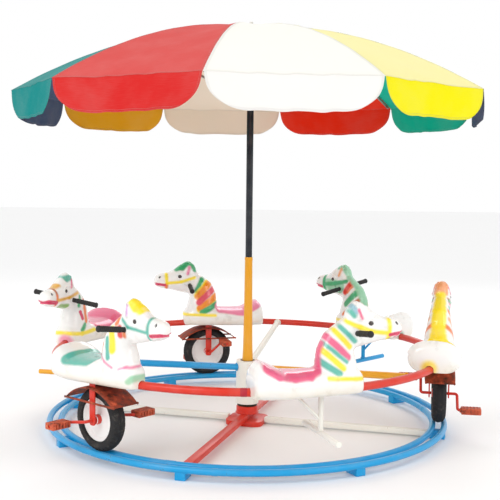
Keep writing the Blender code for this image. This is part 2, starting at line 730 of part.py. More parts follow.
def build_wheel(index, axle):
    section = []
    for step in range(10):
        angle = 2 * math.pi * step / 10
        section.append((TYRE_RADIUS - TYRE_SECTION + TYRE_SECTION * math.cos(angle),
                        -TYRE_SECTION * math.sin(angle)))
    bead = RIM_RADIUS + SEAT_GAP
    tyre_profile = [(max(radius, bead), height) for radius, height in section]
    tyre = turned("tyre_%d" % index, tyre_profile, TYRE_SEGMENTS, "rubber_black")
    bore = AXLE_RADIUS + SEAT_GAP
    flange = RIM_RADIUS - RIM_LIP
    disc_profile = (
        (RIM_RADIUS, RIM_HALF_WIDTH), (RIM_RADIUS, -RIM_HALF_WIDTH), (flange, -WEB_HALF_WIDTH),
        (HUB_RADIUS, -HUB_HALF_WIDTH), (bore, -HUB_HALF_WIDTH), (bore, HUB_HALF_WIDTH),
        (HUB_RADIUS, HUB_HALF_WIDTH), (flange, WEB_HALF_WIDTH),
    )
    disc = turned("wheel_disc_%d" % index, disc_profile, TYRE_SEGMENTS, "cream_white")
    for item in (tyre, disc):
        item.parent = axle
        item.rotation_euler = (0.0, math.radians(90), 0.0)


def crank_end(angle, side):
    direction = math.radians(angle if side > 0 else angle + 180)
    return Vector((0.0, CRANK_LENGTH * math.cos(direction), CRANK_LENGTH * math.sin(direction)))


def build_crank(index, angle, axle):
    """One bent rod: pedal pin, arm, axle, arm and pedal pin."""
    points = []
    for side in (-1, 1):
        end = crank_end(angle, side)
        pin = Vector((side * (PEDAL_START + PEDAL_LENGTH - 0.004), 0, 0)) + end
        knee = Vector((side * CRANK_OFFSET, 0, 0)) + end
        shoulder = Vector((side * CRANK_OFFSET, 0, 0))
        points.append([pin, knee, shoulder])
    path = points[0] + list(reversed(points[1]))
    rod = tube_object("crank_%d" % index, path, AXLE_RADIUS, "signal_red", 1)
    rod.parent = axle


def build_pedal(name, side, pin):
    low, high = side * PEDAL_START, side * (PEDAL_START + PEDAL_LENGTH)
    block = block_mesh(name, (min(low, high), -PEDAL_WIDTH / 2, -PEDAL_THICKNESS / 2),
                       (max(low, high), PEDAL_WIDTH / 2, PEDAL_THICKNESS / 2))
    pedal = add_mesh(name, block, "rust_brown")
    drill = add_drill(name + "_drill", (PEDAL_START + PEDAL_LENGTH) * 1.1)
    combine(pedal, drill, "DIFFERENCE")
    pedal.parent = pin
    drill.parent = pin


def build_wheels(carousel):
    for index, (horse, ahead, angle) in enumerate(zip(WHEEL_HORSES, WHEEL_AHEAD, CRANK_ANGLES), start=1):
        azimuth = HORSE_AZIMUTHS[horse] + ahead
        axle = add_empty("wheel_axle_%d" % index, polar(TRACK_RADIUS, azimuth, axle_height()), azimuth, carousel)
        build_fork(index, axle, carousel)
        build_guard(index, axle, carousel)
        build_wheel(index, axle)
        build_crank(index, angle, axle)
        for side, label in ((1, "outer"), (-1, "inner")):
            pin = add_empty("pedal_pin_%s_%d" % (label, index), crank_end(angle, side), 0.0, axle)
            build_pedal("pedal_%s_%d" % (label, index), side, pin)


def build_carousel():
    carousel = add_empty("carousel_axis")
    build_hub(carousel)
    build_horses(carousel)
    for horse, (paint, ahead) in FOOTREST_HORSES.items():
        build_footrest(horse + 1, HORSE_AZIMUTHS[horse] + ahead, paint, carousel)
    build_wheels(carousel)


clear_scene()
parts = make_collection("pedal_carousel")
cutters = make_collection("cutters")
paints = make_paints()
build_track()
build_cross()
build_post()
build_canopy()
build_ribs()
build_carousel()
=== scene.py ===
# %% [markdown]
# A pedal carousel: six fibreglass horses ride on a red ring, three small cycle wheels run on a round
# track, and an umbrella stands in the middle. The measured solids come in first as a fixed frame, so
# every piece made below has a place that is already right.

# %% Load the measured frame
import bpy
import bmesh
import json
import math
from mathutils import Matrix, Vector, noise


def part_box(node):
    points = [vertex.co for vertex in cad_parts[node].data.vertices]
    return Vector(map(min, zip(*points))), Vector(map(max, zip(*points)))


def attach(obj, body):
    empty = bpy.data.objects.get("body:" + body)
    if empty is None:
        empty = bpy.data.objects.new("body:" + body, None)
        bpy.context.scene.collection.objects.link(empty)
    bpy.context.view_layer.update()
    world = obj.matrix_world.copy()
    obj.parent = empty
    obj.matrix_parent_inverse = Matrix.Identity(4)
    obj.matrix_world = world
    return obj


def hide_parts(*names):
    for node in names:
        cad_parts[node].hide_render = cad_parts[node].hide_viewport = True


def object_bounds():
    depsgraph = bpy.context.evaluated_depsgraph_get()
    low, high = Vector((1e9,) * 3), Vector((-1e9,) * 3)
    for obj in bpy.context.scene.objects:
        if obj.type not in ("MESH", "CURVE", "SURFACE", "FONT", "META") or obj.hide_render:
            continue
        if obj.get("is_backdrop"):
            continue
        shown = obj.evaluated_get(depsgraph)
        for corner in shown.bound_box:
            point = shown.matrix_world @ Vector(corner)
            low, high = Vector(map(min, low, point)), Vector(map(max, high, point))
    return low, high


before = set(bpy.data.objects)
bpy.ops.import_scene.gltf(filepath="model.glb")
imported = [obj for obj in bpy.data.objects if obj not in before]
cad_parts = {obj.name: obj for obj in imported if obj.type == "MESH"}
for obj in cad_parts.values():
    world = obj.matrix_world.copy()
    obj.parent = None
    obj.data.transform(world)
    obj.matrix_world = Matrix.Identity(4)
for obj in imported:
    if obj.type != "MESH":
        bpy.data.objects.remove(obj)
CAD_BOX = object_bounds()

# %% [markdown]
# Blender's operators act on whatever is selected, so each piece starts with nothing else selected.
# A primitive is added at its size, then pulled, turned and scaled in edit mode. Faces are picked in
# code by where they are, which is what a modeller does with the mouse.

# %% Helpers for modelling
def close_edit():
    bpy.ops.object.mode_set(mode="OBJECT")


def deselect():
    active = bpy.context.view_layer.objects.active
    if active and active.mode != "OBJECT":
        close_edit()
    bpy.ops.object.select_all(action="DESELECT")


def hold(item):
    deselect()
    item.select_set(True)
    bpy.context.view_layer.objects.active = item
    return item


def settle(item):
    hold(item)
    bpy.ops.object.transform_apply(location=True, rotation=True, scale=True)
    return item


def start(kind, name, stretch=(1, 1, 1), **sizes):
    deselect()
    getattr(bpy.ops.mesh, "primitive_" + kind + "_add")(**sizes)
    item = bpy.context.object
    item.scale = stretch
    item.name = name
    item.data.name = name
    return settle(item)


def pick_all():
    bpy.ops.mesh.select_all(action="SELECT")


def edit(item):
    hold(item)
    bpy.ops.object.mode_set(mode="EDIT")
    bpy.ops.mesh.select_mode(type="VERT")
    pick_all()
    return item


def pick(item, test, kind="FACE"):
    """Select the faces, edges or points whose own test passes; says how many."""
    bpy.ops.mesh.select_mode(type=kind)
    bpy.ops.mesh.select_all(action="DESELECT")
    shape = bmesh.from_edit_mesh(item.data)
    group = {"FACE": shape.faces, "EDGE": shape.edges, "VERT": shape.verts}[kind]
    found = [element for element in group if test(element)]
    for element in found:
        element.select_set(True)
    bmesh.update_edit_mesh(item.data)
    return len(found)


def pull(x=0.0, y=0.0, z=0.0):
    bpy.ops.mesh.extrude_region_move(TRANSFORM_OT_translate={"value": (x, y, z)})


def scale(factors, centre):
    bpy.ops.transform.resize(value=factors, center_override=centre)


def turn(degrees, axis, centre):
    """Right-handed turn; without a window the operator itself turns the other way."""
    bpy.ops.transform.rotate(value=-math.radians(degrees), orient_axis=axis, center_override=centre)


def round_edges(width, steps):
    bpy.ops.mesh.bevel(offset=width, segments=steps, affect="EDGES")


def tidy_skin(item):
    edit(item)
    bpy.ops.mesh.remove_doubles(threshold=0.00001)
    bpy.ops.mesh.normals_make_consistent(inside=False)
    close_edit()
    return item


def moved(item, matrix, name=None):
    """The same piece, or a copy with a mesh of its own, carried to its place."""
    if name:
        item = item.copy()
        item.data = item.data.copy()
        item.name = name
        item.data.name = name
        bpy.context.scene.collection.objects.link(item)
    item.matrix_world = matrix @ item.matrix_world
    return settle(item)


def finish(item, body, replaces=(), paint=None, angle=35):
    hold(item)
    bpy.ops.object.shade_smooth_by_angle(angle=math.radians(angle))
    if paint:
        item.data.materials.clear()
        item.data.materials.append(paint)
    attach(item, body)
    if replaces:
        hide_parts(*replaces)
    return item


# %% [markdown]
# The camera looks slightly down from about five metres away, a little above the horses' heads. Its
# place and its lens come from fitting the two big circles, the track and the ring, to the picture.

# %% Camera
CAMERA_PLACE = (0, -4.804, 1.258)
LOOK_DOWN, LOOK_ASIDE, ROLL = 0.0782, -0.00124, 0.011
lens = bpy.data.cameras.new("view")
lens.lens = 68.82
lens.sensor_width = 36.0
camera = bpy.data.objects.new("view", lens)
bpy.context.scene.collection.objects.link(camera)
aim = Matrix.Rotation(LOOK_ASIDE, 4, "Z") @ Matrix.Rotation(math.pi / 2 - LOOK_DOWN, 4, "X")
camera.matrix_world = Matrix.Translation(CAMERA_PLACE) @ aim @ Matrix.Rotation(ROLL, 4, "Z")
bpy.context.scene.camera = camera
print("camera", round(math.degrees(LOOK_DOWN), 1), "degrees down, lens", round(lens.lens, 1), "mm")

# %% [markdown]
# A studio for a white object: a pale floor, a bright even surround, and three large lamps. Large lamps
# give the fibreglass soft highlights and keep the shadows under the ring pale.

# %% Floor, surround and lamps
floor = start("plane", "studio_floor", size=60, location=(0, 0, -0.0005))
edit(floor)
bpy.ops.mesh.subdivide(number_cuts=3)
close_edit()
floor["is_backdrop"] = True
world = bpy.data.worlds.new("surround")
bpy.context.scene.world = world
world.use_nodes = True
surround = world.node_tree.nodes["Background"].inputs
surround["Color"].default_value = (1.0, 1.0, 1.0, 1.0)
surround["Strength"].default_value = 1.0
bpy.context.scene.view_settings.view_transform = "Standard"


def add_lamp(name, place, size, power):
    data = bpy.data.lights.new(name, "AREA")
    data.shape = "DISK"
    data.size = size
    data.energy = power
    lamp = bpy.data.objects.new(name, data)
    bpy.context.scene.collection.objects.link(lamp)
    lamp.location = place
    lamp.rotation_euler = (Vector((0, 0, 0.6)) - Vector(place)).to_track_quat("-Z", "Y").to_euler()


add_lamp("lamp_left", (-3.6, -4.2, 3.8), 3.0, 90)
add_lamp("lamp_right", (4.2, -3.0, 2.6), 2.6, 40)
add_lamp("lamp_back", (0.8, 4.5, 4.0), 3.0, 60)
print("lamps:", len(bpy.data.lights))

# %% [markdown]
# Materials here are small networks of nodes. A few helpers keep them readable: node adds one with
# its values, calc, times, plus and weighed do arithmetic, tint mixes two colours, spread turns a range
# into a mask, speckle is noise of a given size, and new_group and placed make a node group and use it.

# %% Helpers for materials
def feed(tree, made, values):
    """Fill a node's inputs: a socket is linked, anything else is set as a plain value."""
    for key, value in values.items():
        if isinstance(value, bpy.types.NodeSocket):
            tree.links.new(value, made.inputs[key])
        else:
            made.inputs[key].default_value = value
    return made


def node(tree, kind, values=None, **settings):
    made = tree.nodes.new("ShaderNode" + kind)
    for key, value in settings.items():
        setattr(made, key, value)
    return feed(tree, made, values or {})


def calc(tree, operation, first, second=0.0, clamp=False):
    return node(tree, "Math", {0: first, 1: second}, operation=operation, use_clamp=clamp).outputs[0]


def times(tree, first, second):
    return calc(tree, "MULTIPLY", first, second)


def plus(tree, first, second, clamp=False):
    return calc(tree, "ADD", first, second, clamp)


def weighed(tree, first, share, second, other):
    """Two values added up, each times its own share."""
    return plus(tree, times(tree, first, share), times(tree, second, other))


def tint(tree, share, first, second):
    return node(tree, "Mix", {0: share, 6: first, 7: second}, data_type="RGBA").outputs[2]


def spread(tree, value, low, high, to_low=0.0, to_high=1.0):
    values = {"Value": value, "From Min": low, "From Max": high, "To Min": to_low, "To Max": to_high}
    return node(tree, "MapRange", values, interpolation_type="SMOOTHSTEP").outputs[0]


def speckle(tree, place, size, detail=3.0, roughness=0.55):
    """Noise whose blotches are about this many metres across."""
    values = {"Vector": place, "Scale": 1.0 / size, "Detail": detail, "Roughness": roughness}
    return node(tree, "TexNoise", values).outputs[0]


def rgb(red, green, blue):
    """A colour as read off a screen, turned into the linear light that nodes use."""
    return (*[(part / 255) ** 2.2 for part in (red, green, blue)], 1.0)


def new_group(name, inputs, outputs):
    tree = bpy.data.node_groups.new(name, "ShaderNodeTree")
    kinds = {"c": "NodeSocketColor", "v": "NodeSocketVector", "f": "NodeSocketFloat"}
    for label, kind in inputs:
        tree.interface.new_socket(label, in_out="INPUT", socket_type=kinds[kind])
    for label, kind in outputs:
        tree.interface.new_socket(label, in_out="OUTPUT", socket_type=kinds[kind])
    return tree, tree.nodes.new("NodeGroupInput").outputs, tree.nodes.new("NodeGroupOutput").inputs


def placed(tree, group, values):
    return feed(tree, node(tree, "Group", node_tree=group), values).outputs


def new_material(name, **shader):
    """A material with its shader's plain values set; returns it with its tree, shader and place."""
    material = bpy.data.materials.new(name)
    material.use_nodes = True
    tree = material.node_tree
    body = tree.nodes["Principled BSDF"]
    for key, value in shader.items():
        body.inputs[key.replace("_", " ")].default_value = value
    place = tree.nodes.new("ShaderNodeTexCoord").outputs["Object"]
    return material, tree, body, place


def raise_bump(tree, body, height, distance):
    bump = node(tree, "Bump", {"Height": height, "Strength": 1.0, "Distance": distance})
    tree.links.new(bump.outputs[0], body.inputs["Normal"])


# %% [markdown]
# The floor gets a faint grain of grey, like matt paper, so that the feet stand on something real.

# %% Floor material
paper, tree, body, place = new_material("studio_paper", Roughness=0.9)
grain = speckle(tree, place, 0.004)
tree.links.new(tint(tree, grain, (0.90, 0.90, 0.90, 1), (0.95, 0.95, 0.95, 1)), body.inputs["Base Color"])
floor.data.materials.append(paper)
print("floor nodes:", len(tree.nodes))

# %% [markdown]
# Every painted bar shares the same ageing: dust lies on upward faces, paint fades in clouds, and small
# chips let rust show. It is built once as a node group and each paint sets its own amounts.

# %% Node group: rubbed enamel
enamel_group, given, result = new_group(
    "rubbed_enamel", [("Place", "v"), ("Paint", "c"), ("Under", "c"), ("Wear", "f"), ("Dust", "f")],
    [("Colour", "c"), ("Roughness", "f"), ("Height", "f")])
t = enamel_group  # t stands for the tree of the group in hand
clouds = speckle(t, given["Place"], 0.12, 4.0)
grain = speckle(t, given["Place"], 0.0065, 3.0, 0.6)
pits = speckle(t, given["Place"], 0.0045, 2.0)
chalk = tint(t, 0.35, given["Paint"], (0.75, 0.72, 0.68, 1))
faded = tint(t, spread(t, clouds, 0.35, 0.75, 0.0, 0.16), given["Paint"], chalk)
edge = calc(t, "SUBTRACT", 0.705, times(t, given["Wear"], 0.13))
chips = spread(t, weighed(t, grain, 0.62, clouds, 0.38), edge, plus(t, edge, 0.02))
up = node(t, "SeparateXYZ", {0: t.nodes.new("ShaderNodeNewGeometry").outputs["Normal"]}).outputs[2]
settled = times(t, spread(t, up, 0.35, 1.0), spread(t, clouds, 0.3, 0.7, 0.4, 1.0))
dusty = times(t, settled, given["Dust"])
painted = tint(t, dusty, faded, (0.55, 0.50, 0.44, 1))
t.links.new(tint(t, chips, painted, given["Under"]), result["Colour"])
rough = weighed(t, pits, 0.12, plus(t, chips, dusty), 0.4)
t.links.new(plus(t, rough, 0.26), result["Roughness"])
t.links.new(calc(t, "SUBTRACT", times(t, pits, 0.25), chips), result["Height"])


def lead_in(tree, body, out, depth):
    """Join a group's colour, roughness and height to the shader."""
    tree.links.new(out["Colour"], body.inputs["Base Color"])
    tree.links.new(out["Roughness"], body.inputs["Roughness"])
    raise_bump(tree, body, out["Height"], depth)


def enamel(name, paint, under=(0.10, 0.035, 0.015, 1), wear=0.3, dust=0.1):
    gloss = {"Coat_Weight": 0.12, "Coat_Roughness": 0.12, "Specular_IOR_Level": 0.35}
    material, tree, body, place = new_material(name, **gloss)
    values = {"Place": place, "Paint": rgb(*paint), "Under": under, "Wear": wear, "Dust": dust}
    lead_in(tree, body, placed(tree, enamel_group, values), 0.0004)
    return material


print("enamel nodes:", len(enamel_group.nodes))


# %% [markdown]
# The horses were sprayed by hand over white gelcoat, so each stripe is a soft-edged stroke between two
# points. The group measures how far a place on the shell is from such a stroke and mixes the paint in.

# %% Node group: sprayed stroke
stroke_group, given, result = new_group(
    "sprayed_stroke", [("Colour", "c"), ("Place", "v"), ("Paint", "c"), ("Start", "v"), ("End", "v"),
                       ("Radius", "f"), ("Softness", "f"), ("Strength", "f")], [("Colour", "c")])
t = stroke_group


def vector(tree, operation, first, second=(0.0, 0.0, 0.0)):
    made = node(tree, "VectorMath", {0: first, 1: second}, operation=operation)
    return made.outputs["Value" if operation in ("DOT_PRODUCT", "LENGTH") else "Vector"]


def stretched(tree, first, factor):
    return node(tree, "VectorMath", {0: first, "Scale": factor}, operation="SCALE").outputs["Vector"]


reach = vector(t, "SUBTRACT", given["Place"], given["Start"])
run = vector(t, "SUBTRACT", given["End"], given["Start"])
whole = calc(t, "MAXIMUM", vector(t, "DOT_PRODUCT", run, run), 0.000001)
along = calc(t, "DIVIDE", vector(t, "DOT_PRODUCT", reach, run), whole, clamp=True)
away = vector(t, "LENGTH", vector(t, "SUBTRACT", reach, stretched(t, run, along)))
inner = calc(t, "SUBTRACT", given["Radius"], given["Softness"])
outer = plus(t, given["Radius"], given["Softness"])
mask = spread(t, away, inner, outer, 1.0, 0.0)
share = times(t, mask, given["Strength"])
t.links.new(tint(t, share, given["Colour"], given["Paint"]), result["Colour"])
print("stroke nodes:", len(stroke_group.nodes))

# %% [markdown]
# White gelcoat is never one white. It is tinted a darker, warmer cream in clouds towards the bottom,
# collects grime in scattered spots, and shows hair-fine scratches where riders' shoes rub.

# %% Node group: aged gelcoat
gelcoat_group, given, result = new_group(
    "aged_gelcoat", [("Place", "v"), ("Colour", "c"), ("Grime", "f")],
    [("Colour", "c"), ("Roughness", "f"), ("Height", "f")])
t = gelcoat_group
low = spread(t, node(t, "SeparateXYZ", {0: given["Place"]}).outputs[2], 0.0, 0.09, 1.0, 0.0)
clouds = speckle(t, given["Place"], 0.06, 5.0)
fine = speckle(t, given["Place"], 0.003, 2.0)
streaks = node(t, "Mapping", {"Vector": given["Place"], "Scale": (1.0, 1.0, 9.0)}).outputs[0]
scratch = spread(t, speckle(t, streaks, 0.02, 5.0, 0.7), 0.66, 0.70)
# Darker, warmer cream in clouds towards the bottom of the shell.
low_cream_tint = times(t, times(t, low, clouds), 0.75)
low_tinted = tint(t, low_cream_tint, given["Colour"], (0.80, 0.66, 0.42, 1))
spots = times(t, spread(t, plus(t, clouds, times(t, fine, 0.25)), 0.70, 0.86), given["Grime"])
marks = plus(t, spots, times(t, scratch, 0.10), clamp=True)
t.links.new(tint(t, marks, low_tinted, (0.28, 0.25, 0.20, 1)), result["Colour"])
rough = weighed(t, fine, 0.10, plus(t, spots, scratch), 0.3)
t.links.new(plus(t, 0.16, rough), result["Roughness"])
t.links.new(calc(t, "SUBTRACT", times(t, fine, 0.3), scratch), result["Height"])
print("gelcoat nodes:", len(gelcoat_group.nodes))

# %% [markdown]
# Each horse's strokes are listed in its own frame, in millimetres: paint, half width, then points as
# (forward, height). Points with a third number between them are glows round the holes of the ring.

# %% Horse paints
SPRAY = {paint: rgb(*screen) for paint, *screen in (
    ("teal", 88, 180, 162), ("green", 45, 165, 105), ("leaf", 130, 175, 80), ("yellow", 252, 226, 40),
    ("gold", 235, 175, 62), ("orange", 238, 120, 48), ("red", 226, 58, 40), ("amber", 244, 138, 24),
    ("coral", 226, 58, 84), ("crimson", 214, 48, 92), ("pink", 232, 96, 136), ("rose", 236, 130, 166),
    ("lilac", 212, 160, 214), ("peach", 245, 165, 115), ("mint", 150, 208, 172), ("mist", 150, 192, 205),
    ("brown", 176, 92, 44), ("black", 35, 30, 30))}
GELCOAT = (0.90, 0.895, 0.87, 1)
NOSE = (("black", 4.5, (380, 301), (383, 297)), ("crimson", 8.5, (404, 259), (352, 252)))
STRIPES = {
    1: (("mint", 38, (305, 266), (205, 262)), ("mint", 17, (228, 378), (190, 382), (160, 345)),
        ("peach", 9, (205, 366), (212, 330)), ("green", 12, (335, 328), (334, 238)),
        ("green", 12, (330, 268), (236, 280), (160, 298)), ("red", 17, (126, 290), (156, 236)),
        ("orange", 6, (112, 270), (136, 236)), ("green", 18, (70, 248), (136, 172)),
        ("brown", 12, (44, 212), (74, 184)), ("orange", 11, (42, 176), (75, 150)),
        ("orange", 9, (125, 134), (150, 110)), ("mint", 16, (150, 325), (80, 272), (36, 200), (20, 130)),
        ("yellow", 9, (240, 75), (60, 72)), ("mint", 26, (20, 118), (-120, 100)),
        ("teal", 26, (-240, 19, 28), (-236, 19, 26))),
    2: (("green", 19, (248, 356), (226, 380), (196, 390), (168, 346)), ("green", 13, (250, 356), (284, 346)),
        ("rose", 9, (205, 356), (216, 320)), ("yellow", 10, (342, 328), (340, 262)),
        ("orange", 10, (341, 255), (341, 232)), ("yellow", 9, (332, 264), (254, 272), (174, 296)),
        ("green", 15, (131, 283), (161, 217)), ("yellow", 23, (95, 262), (155, 190)),
        ("yellow", 22, (42, 178), (144, 109)), ("amber", 20, (92, 255), (153, 182)),
        ("amber", 19, (42, 186), (144, 117)), ("coral", 18, (62, 226), (150, 150)),
        ("green", 17, (40, 138), (130, 91)), ("yellow", 9, (240, 78), (54, 74)),
        ("rose", 32, (20, 120), (-120, 104)), ("rose", 30, (-130, 112), (-210, 155))),
    3: (("teal", 15, (243, 362), (180, 376)), ("pink", 10, (203, 352), (214, 322)),
        ("gold", 9, (300, 338), (345, 322)), ("brown", 8, (342, 318), (341, 290)),
        ("orange", 10, (341, 285), (340, 240)), ("gold", 9, (330, 262), (240, 268), (140, 285)),
        ("crimson", 10, (404, 262), (340, 250)), ("leaf", 12, (300, 228), (240, 222)),
        ("green", 11, (140, 262), (156, 215)), ("orange", 14, (105, 235), (115, 130)),
        ("crimson", 11, (150, 180), (144, 148)), ("green", 13, (130, 112), (156, 85)),
        ("yellow", 11, (236, 78), (160, 68), (60, 78)), ("rose", 40, (238, 19, 30), (234, 19, 28)),
        ("pink", 36, (30, 125), (-110, 105)), ("pink", 34, (-120, 115), (-205, 150))),
    4: (("yellow", 20, (226, 380), (254, 360)), ("yellow", 12, (254, 358), (280, 343)),
        ("lilac", 7, (206, 362), (214, 328)), ("teal", 7, (185, 306), (225, 276), (334, 264)),
        ("teal", 8, (338, 324), (338, 236)), ("orange", 15, (158, 322), (146, 286)),
        ("red", 15, (172, 266), (178, 238)), ("orange", 11, (200, 258), (202, 238)),
        ("yellow", 18, (122, 254), (142, 172)), ("teal", 13, (98, 214), (122, 138)),
        ("orange", 12, (62, 196), (58, 150)), ("rose", 5, (56, 146), (96, 120), (150, 100)),
        ("rose", 5, (186, 96), (206, 104), (238, 104)), ("mint", 11, (240, 62), (228, 46)),
        ("teal", 31, (-5, 118), (-115, 112))),
    5: (("mist", 13, (186, 372), (196, 352)), ("teal", 10, (176, 352), (190, 335)),
        ("pink", 7, (212, 358), (222, 326)), ("yellow", 10, (160, 312), (214, 288), (262, 270), (342, 259)),
        ("yellow", 10, (348, 312), (346, 236)), ("pink", 8, (388, 242), (380, 238)),
        ("teal", 11, (132, 290), (190, 232)), ("yellow", 12, (108, 274), (168, 209)),
        ("pink", 15, (72, 251), (157, 168)), ("teal", 9, (60, 224), (150, 151)),
        ("yellow", 13, (45, 205), (134, 125)), ("teal", 14, (42, 152), (118, 104)),
        ("yellow", 9, (240, 74), (68, 88)), ("pink", 9, (36, 120), (38, 185), (54, 226)),
        ("pink", 17, (-195, 138), (-150, 112), (-80, 100), (-10, 102), (30, 122))),
    6: (("peach", 17, (232, 378), (190, 372), (170, 340)), ("pink", 7, (206, 362), (214, 328)),
        ("brown", 7, (168, 306), (215, 290)), ("pink", 12, (170, 286), (200, 268)),
        ("teal", 13, (140, 264), (190, 220)), ("orange", 14, (112, 250), (165, 180)),
        ("peach", 13, (90, 215), (150, 140)), ("orange", 11, (48, 192), (135, 112)),
        ("yellow", 17, (150, 330), (70, 262), (34, 190), (30, 110)), ("teal", 8, (340, 326), (338, 236)),
        ("green", 8, (332, 264), (240, 274), (170, 296)), ("yellow", 9, (240, 76), (60, 74)),
        ("yellow", 38, (-240, 19, 30), (-236, 19, 28)), ("yellow", 30, (16, 122), (-120, 98))),
}
print("strokes:", [len(strokes) for strokes in STRIPES.values()])

# %% [markdown]
# A horse's material lays its strokes one over another, each a copy of the stroke group, and the ageing
# comes last. A little noise stirs the place that they read, so that no edge is ruled. A stroke without
# a side reads the place pressed flat, and so shows on both sides of the horse alike.

# %% Horse paints: strokes laid one over another
CRISP, SOFT, GLOW = 0.003, 0.0065, 0.014


def horse_paint(number):
    material, tree, body, _ = new_material("horse_spray_%d" % number, Coat_Weight=0.5, Coat_Roughness=0.08)
    shell = node(tree, "Attribute", attribute_name="shell_place").outputs["Vector"]
    stir = node(tree, "TexNoise", {"Vector": shell, "Scale": 30.0, "Detail": 2.0}).outputs["Color"]
    stir = stretched(tree, vector(tree, "SUBTRACT", stir, (0.5, 0.5, 0.5)), 0.005)
    solid = vector(tree, "ADD", shell, stir)
    flat = vector(tree, "MULTIPLY", solid, (1.0, 0.0, 1.0))
    colour = GELCOAT
    for paint, half_width, *points in STRIPES[number] + NOSE:
        for near, far in zip(points, points[1:]):
            on_both_sides = len(near) == 2
            soft = CRISP if paint in ("black", "crimson") else SOFT if on_both_sides else GLOW
            ends = [Vector((spot[0], 0 if on_both_sides else spot[1], spot[-1])) / 1000
                    for spot in (near, far)]
            values = {"Colour": colour, "Place": flat if on_both_sides else solid, "Paint": SPRAY[paint],
                      "Start": ends[0], "End": ends[1], "Radius": half_width / 1000, "Softness": soft,
                      "Strength": 0.97}
            colour = placed(tree, stroke_group, values)["Colour"]
    low_tinted = placed(tree, gelcoat_group, {"Place": shell, "Colour": colour, "Grime": 0.22})
    lead_in(tree, body, low_tinted, 0.0003)
    return material


# %% [markdown]
# A horse's body is pulled from one rounded ring, station by station from the rump to the chest, and
# the neck and head from another that also tips forward as it goes. Scaling a ring along its own tilt
# takes three steps: turn it level, scale it, turn it back.

# %% Horse: body and neck pulled from rings
BODY = ((-0.240, 0.006, 0.097, 0.074), (-0.230, 0.000, 0.131, 0.102), (-0.205, -0.002, 0.158, 0.122),
        (-0.165, -0.003, 0.142, 0.125), (-0.115, -0.004, 0.116, 0.121), (-0.045, -0.004, 0.113, 0.110),
        (0.030, -0.004, 0.116, 0.096), (0.110, -0.004, 0.128, 0.084), (0.185, -0.002, 0.124, 0.070),
        (0.222, 0.000, 0.108, 0.054), (0.240, 0.004, 0.086, 0.036))
NECK = (((0.040, 0.070), (0.226, 0.060), 0.076), ((0.034, 0.137), (0.213, 0.137), 0.070),
        ((0.042, 0.200), (0.199, 0.184), 0.059), ((0.072, 0.262), (0.205, 0.195), 0.052),
        ((0.122, 0.300), (0.215, 0.200), 0.048), ((0.157, 0.326), (0.226, 0.202), 0.046),
        ((0.176, 0.367), (0.240, 0.205), 0.044), ((0.206, 0.391), (0.255, 0.208), 0.043),
        ((0.262, 0.369), (0.281, 0.214), 0.045), ((0.296, 0.341), (0.305, 0.221), 0.045),
        ((0.335, 0.322), (0.340, 0.227), 0.039), ((0.372, 0.319), (0.374, 0.232), 0.040),
        ((0.398, 0.309), (0.400, 0.242), 0.037), ((0.412, 0.289), (0.413, 0.262), 0.022))


def rounded_ring(name, squareness):
    """A unit ring in the Y-X plane, pushed from a circle towards a rounded square."""
    item = start("circle", name, vertices=40, radius=1.0, fill_type="NGON")
    for point in item.data.vertices:
        point.co = [math.copysign(abs(part) ** (2 / squareness), part) for part in point.co]
    return item


def pull_sections(name, sections, squareness):
    """sections: centre, lean in degrees, half length along the lean, half width."""
    item = rounded_ring(name, squareness)
    edit(item)
    centre, lean, length, width = sections[0]
    scale((length, width, 1), (0, 0, 0))
    turn(-lean, "Y", (0, 0, 0))
    bpy.ops.transform.translate(value=centre)
    for after, next_lean, next_length, next_width in sections[1:]:
        pull(*(Vector(after) - Vector(centre)))
        turn(lean, "Y", after)
        scale((next_length / length, next_width / width, 1), after)
        turn(-next_lean, "Y", after)
        centre, lean, length, width = after, next_lean, next_length, next_width
    return tidy_skin(item)


body_sections = [((x, 0, (low + high) / 2), 90.0, (high - low) / 2, width) for x, low, high, width in BODY]
neck_sections = []
for back, front, width in NECK:
    span = Vector((back[0] - front[0], back[1] - front[1]))
    lean = math.degrees(math.atan2(span.y, span.x)) % 360
    middle = ((back[0] + front[0]) / 2, 0, (back[1] + front[1]) / 2)
    neck_sections.append((middle, lean, span.length / 2, width))
horse = pull_sections("horse_shell", body_sections, 2.5)
neck = pull_sections("horse_neck", neck_sections, 2.2)
print("horse body faces:", len(horse.data.polygons), "neck faces:", len(neck.data.polygons))

# %% [markdown]
# Joined and remeshed, the two pulls become one skin without a seam. The remesh is also what allows
# fine relief: small moves along the normals raise the ears, straps and lips and press in the nostrils.

# %% Horse: one skin
def apply(item, kind, **settings):
    hold(item)
    modifier = item.modifiers.new(kind.title(), kind)
    for key, value in settings.items():
        setattr(modifier, key, value)
    bpy.ops.object.modifier_apply(modifier=modifier.name)
    return item


def join(first, *others):
    deselect()
    for item in (first, *others):
        item.select_set(True)
    bpy.context.view_layer.objects.active = first
    bpy.ops.object.join()
    return first


join(horse, neck)
apply(horse, "REMESH", mode="VOXEL", voxel_size=0.0058)
apply(horse, "SMOOTH", factor=0.5, iterations=7)
edit(horse)
pick(horse, lambda face: face.calc_center_median().x > 0.15 and face.calc_center_median().z > 0.205)
bpy.ops.mesh.subdivide(number_cuts=1, smoothness=0.0)
close_edit()
print("horse skin faces:", len(horse.data.polygons))

# %% [markdown]
# The relief is a list of soft strokes on the side of the shell: jaw, eye, ear, nostril, lips, straps,
# mane, and the grooves between the painted stripes. A point of the skin near a stroke moves along its
# normal, most in the middle of the stroke and not at all at its edge.

# %% Horse: relief
def stroke_distance(point, near, far):
    near, far = Vector(near), Vector(far)
    run = far - near
    share = max(0.0, min(1.0, (point - near).dot(run) / max(run.length_squared, 1e-9)))
    return (point - near - run * share).length


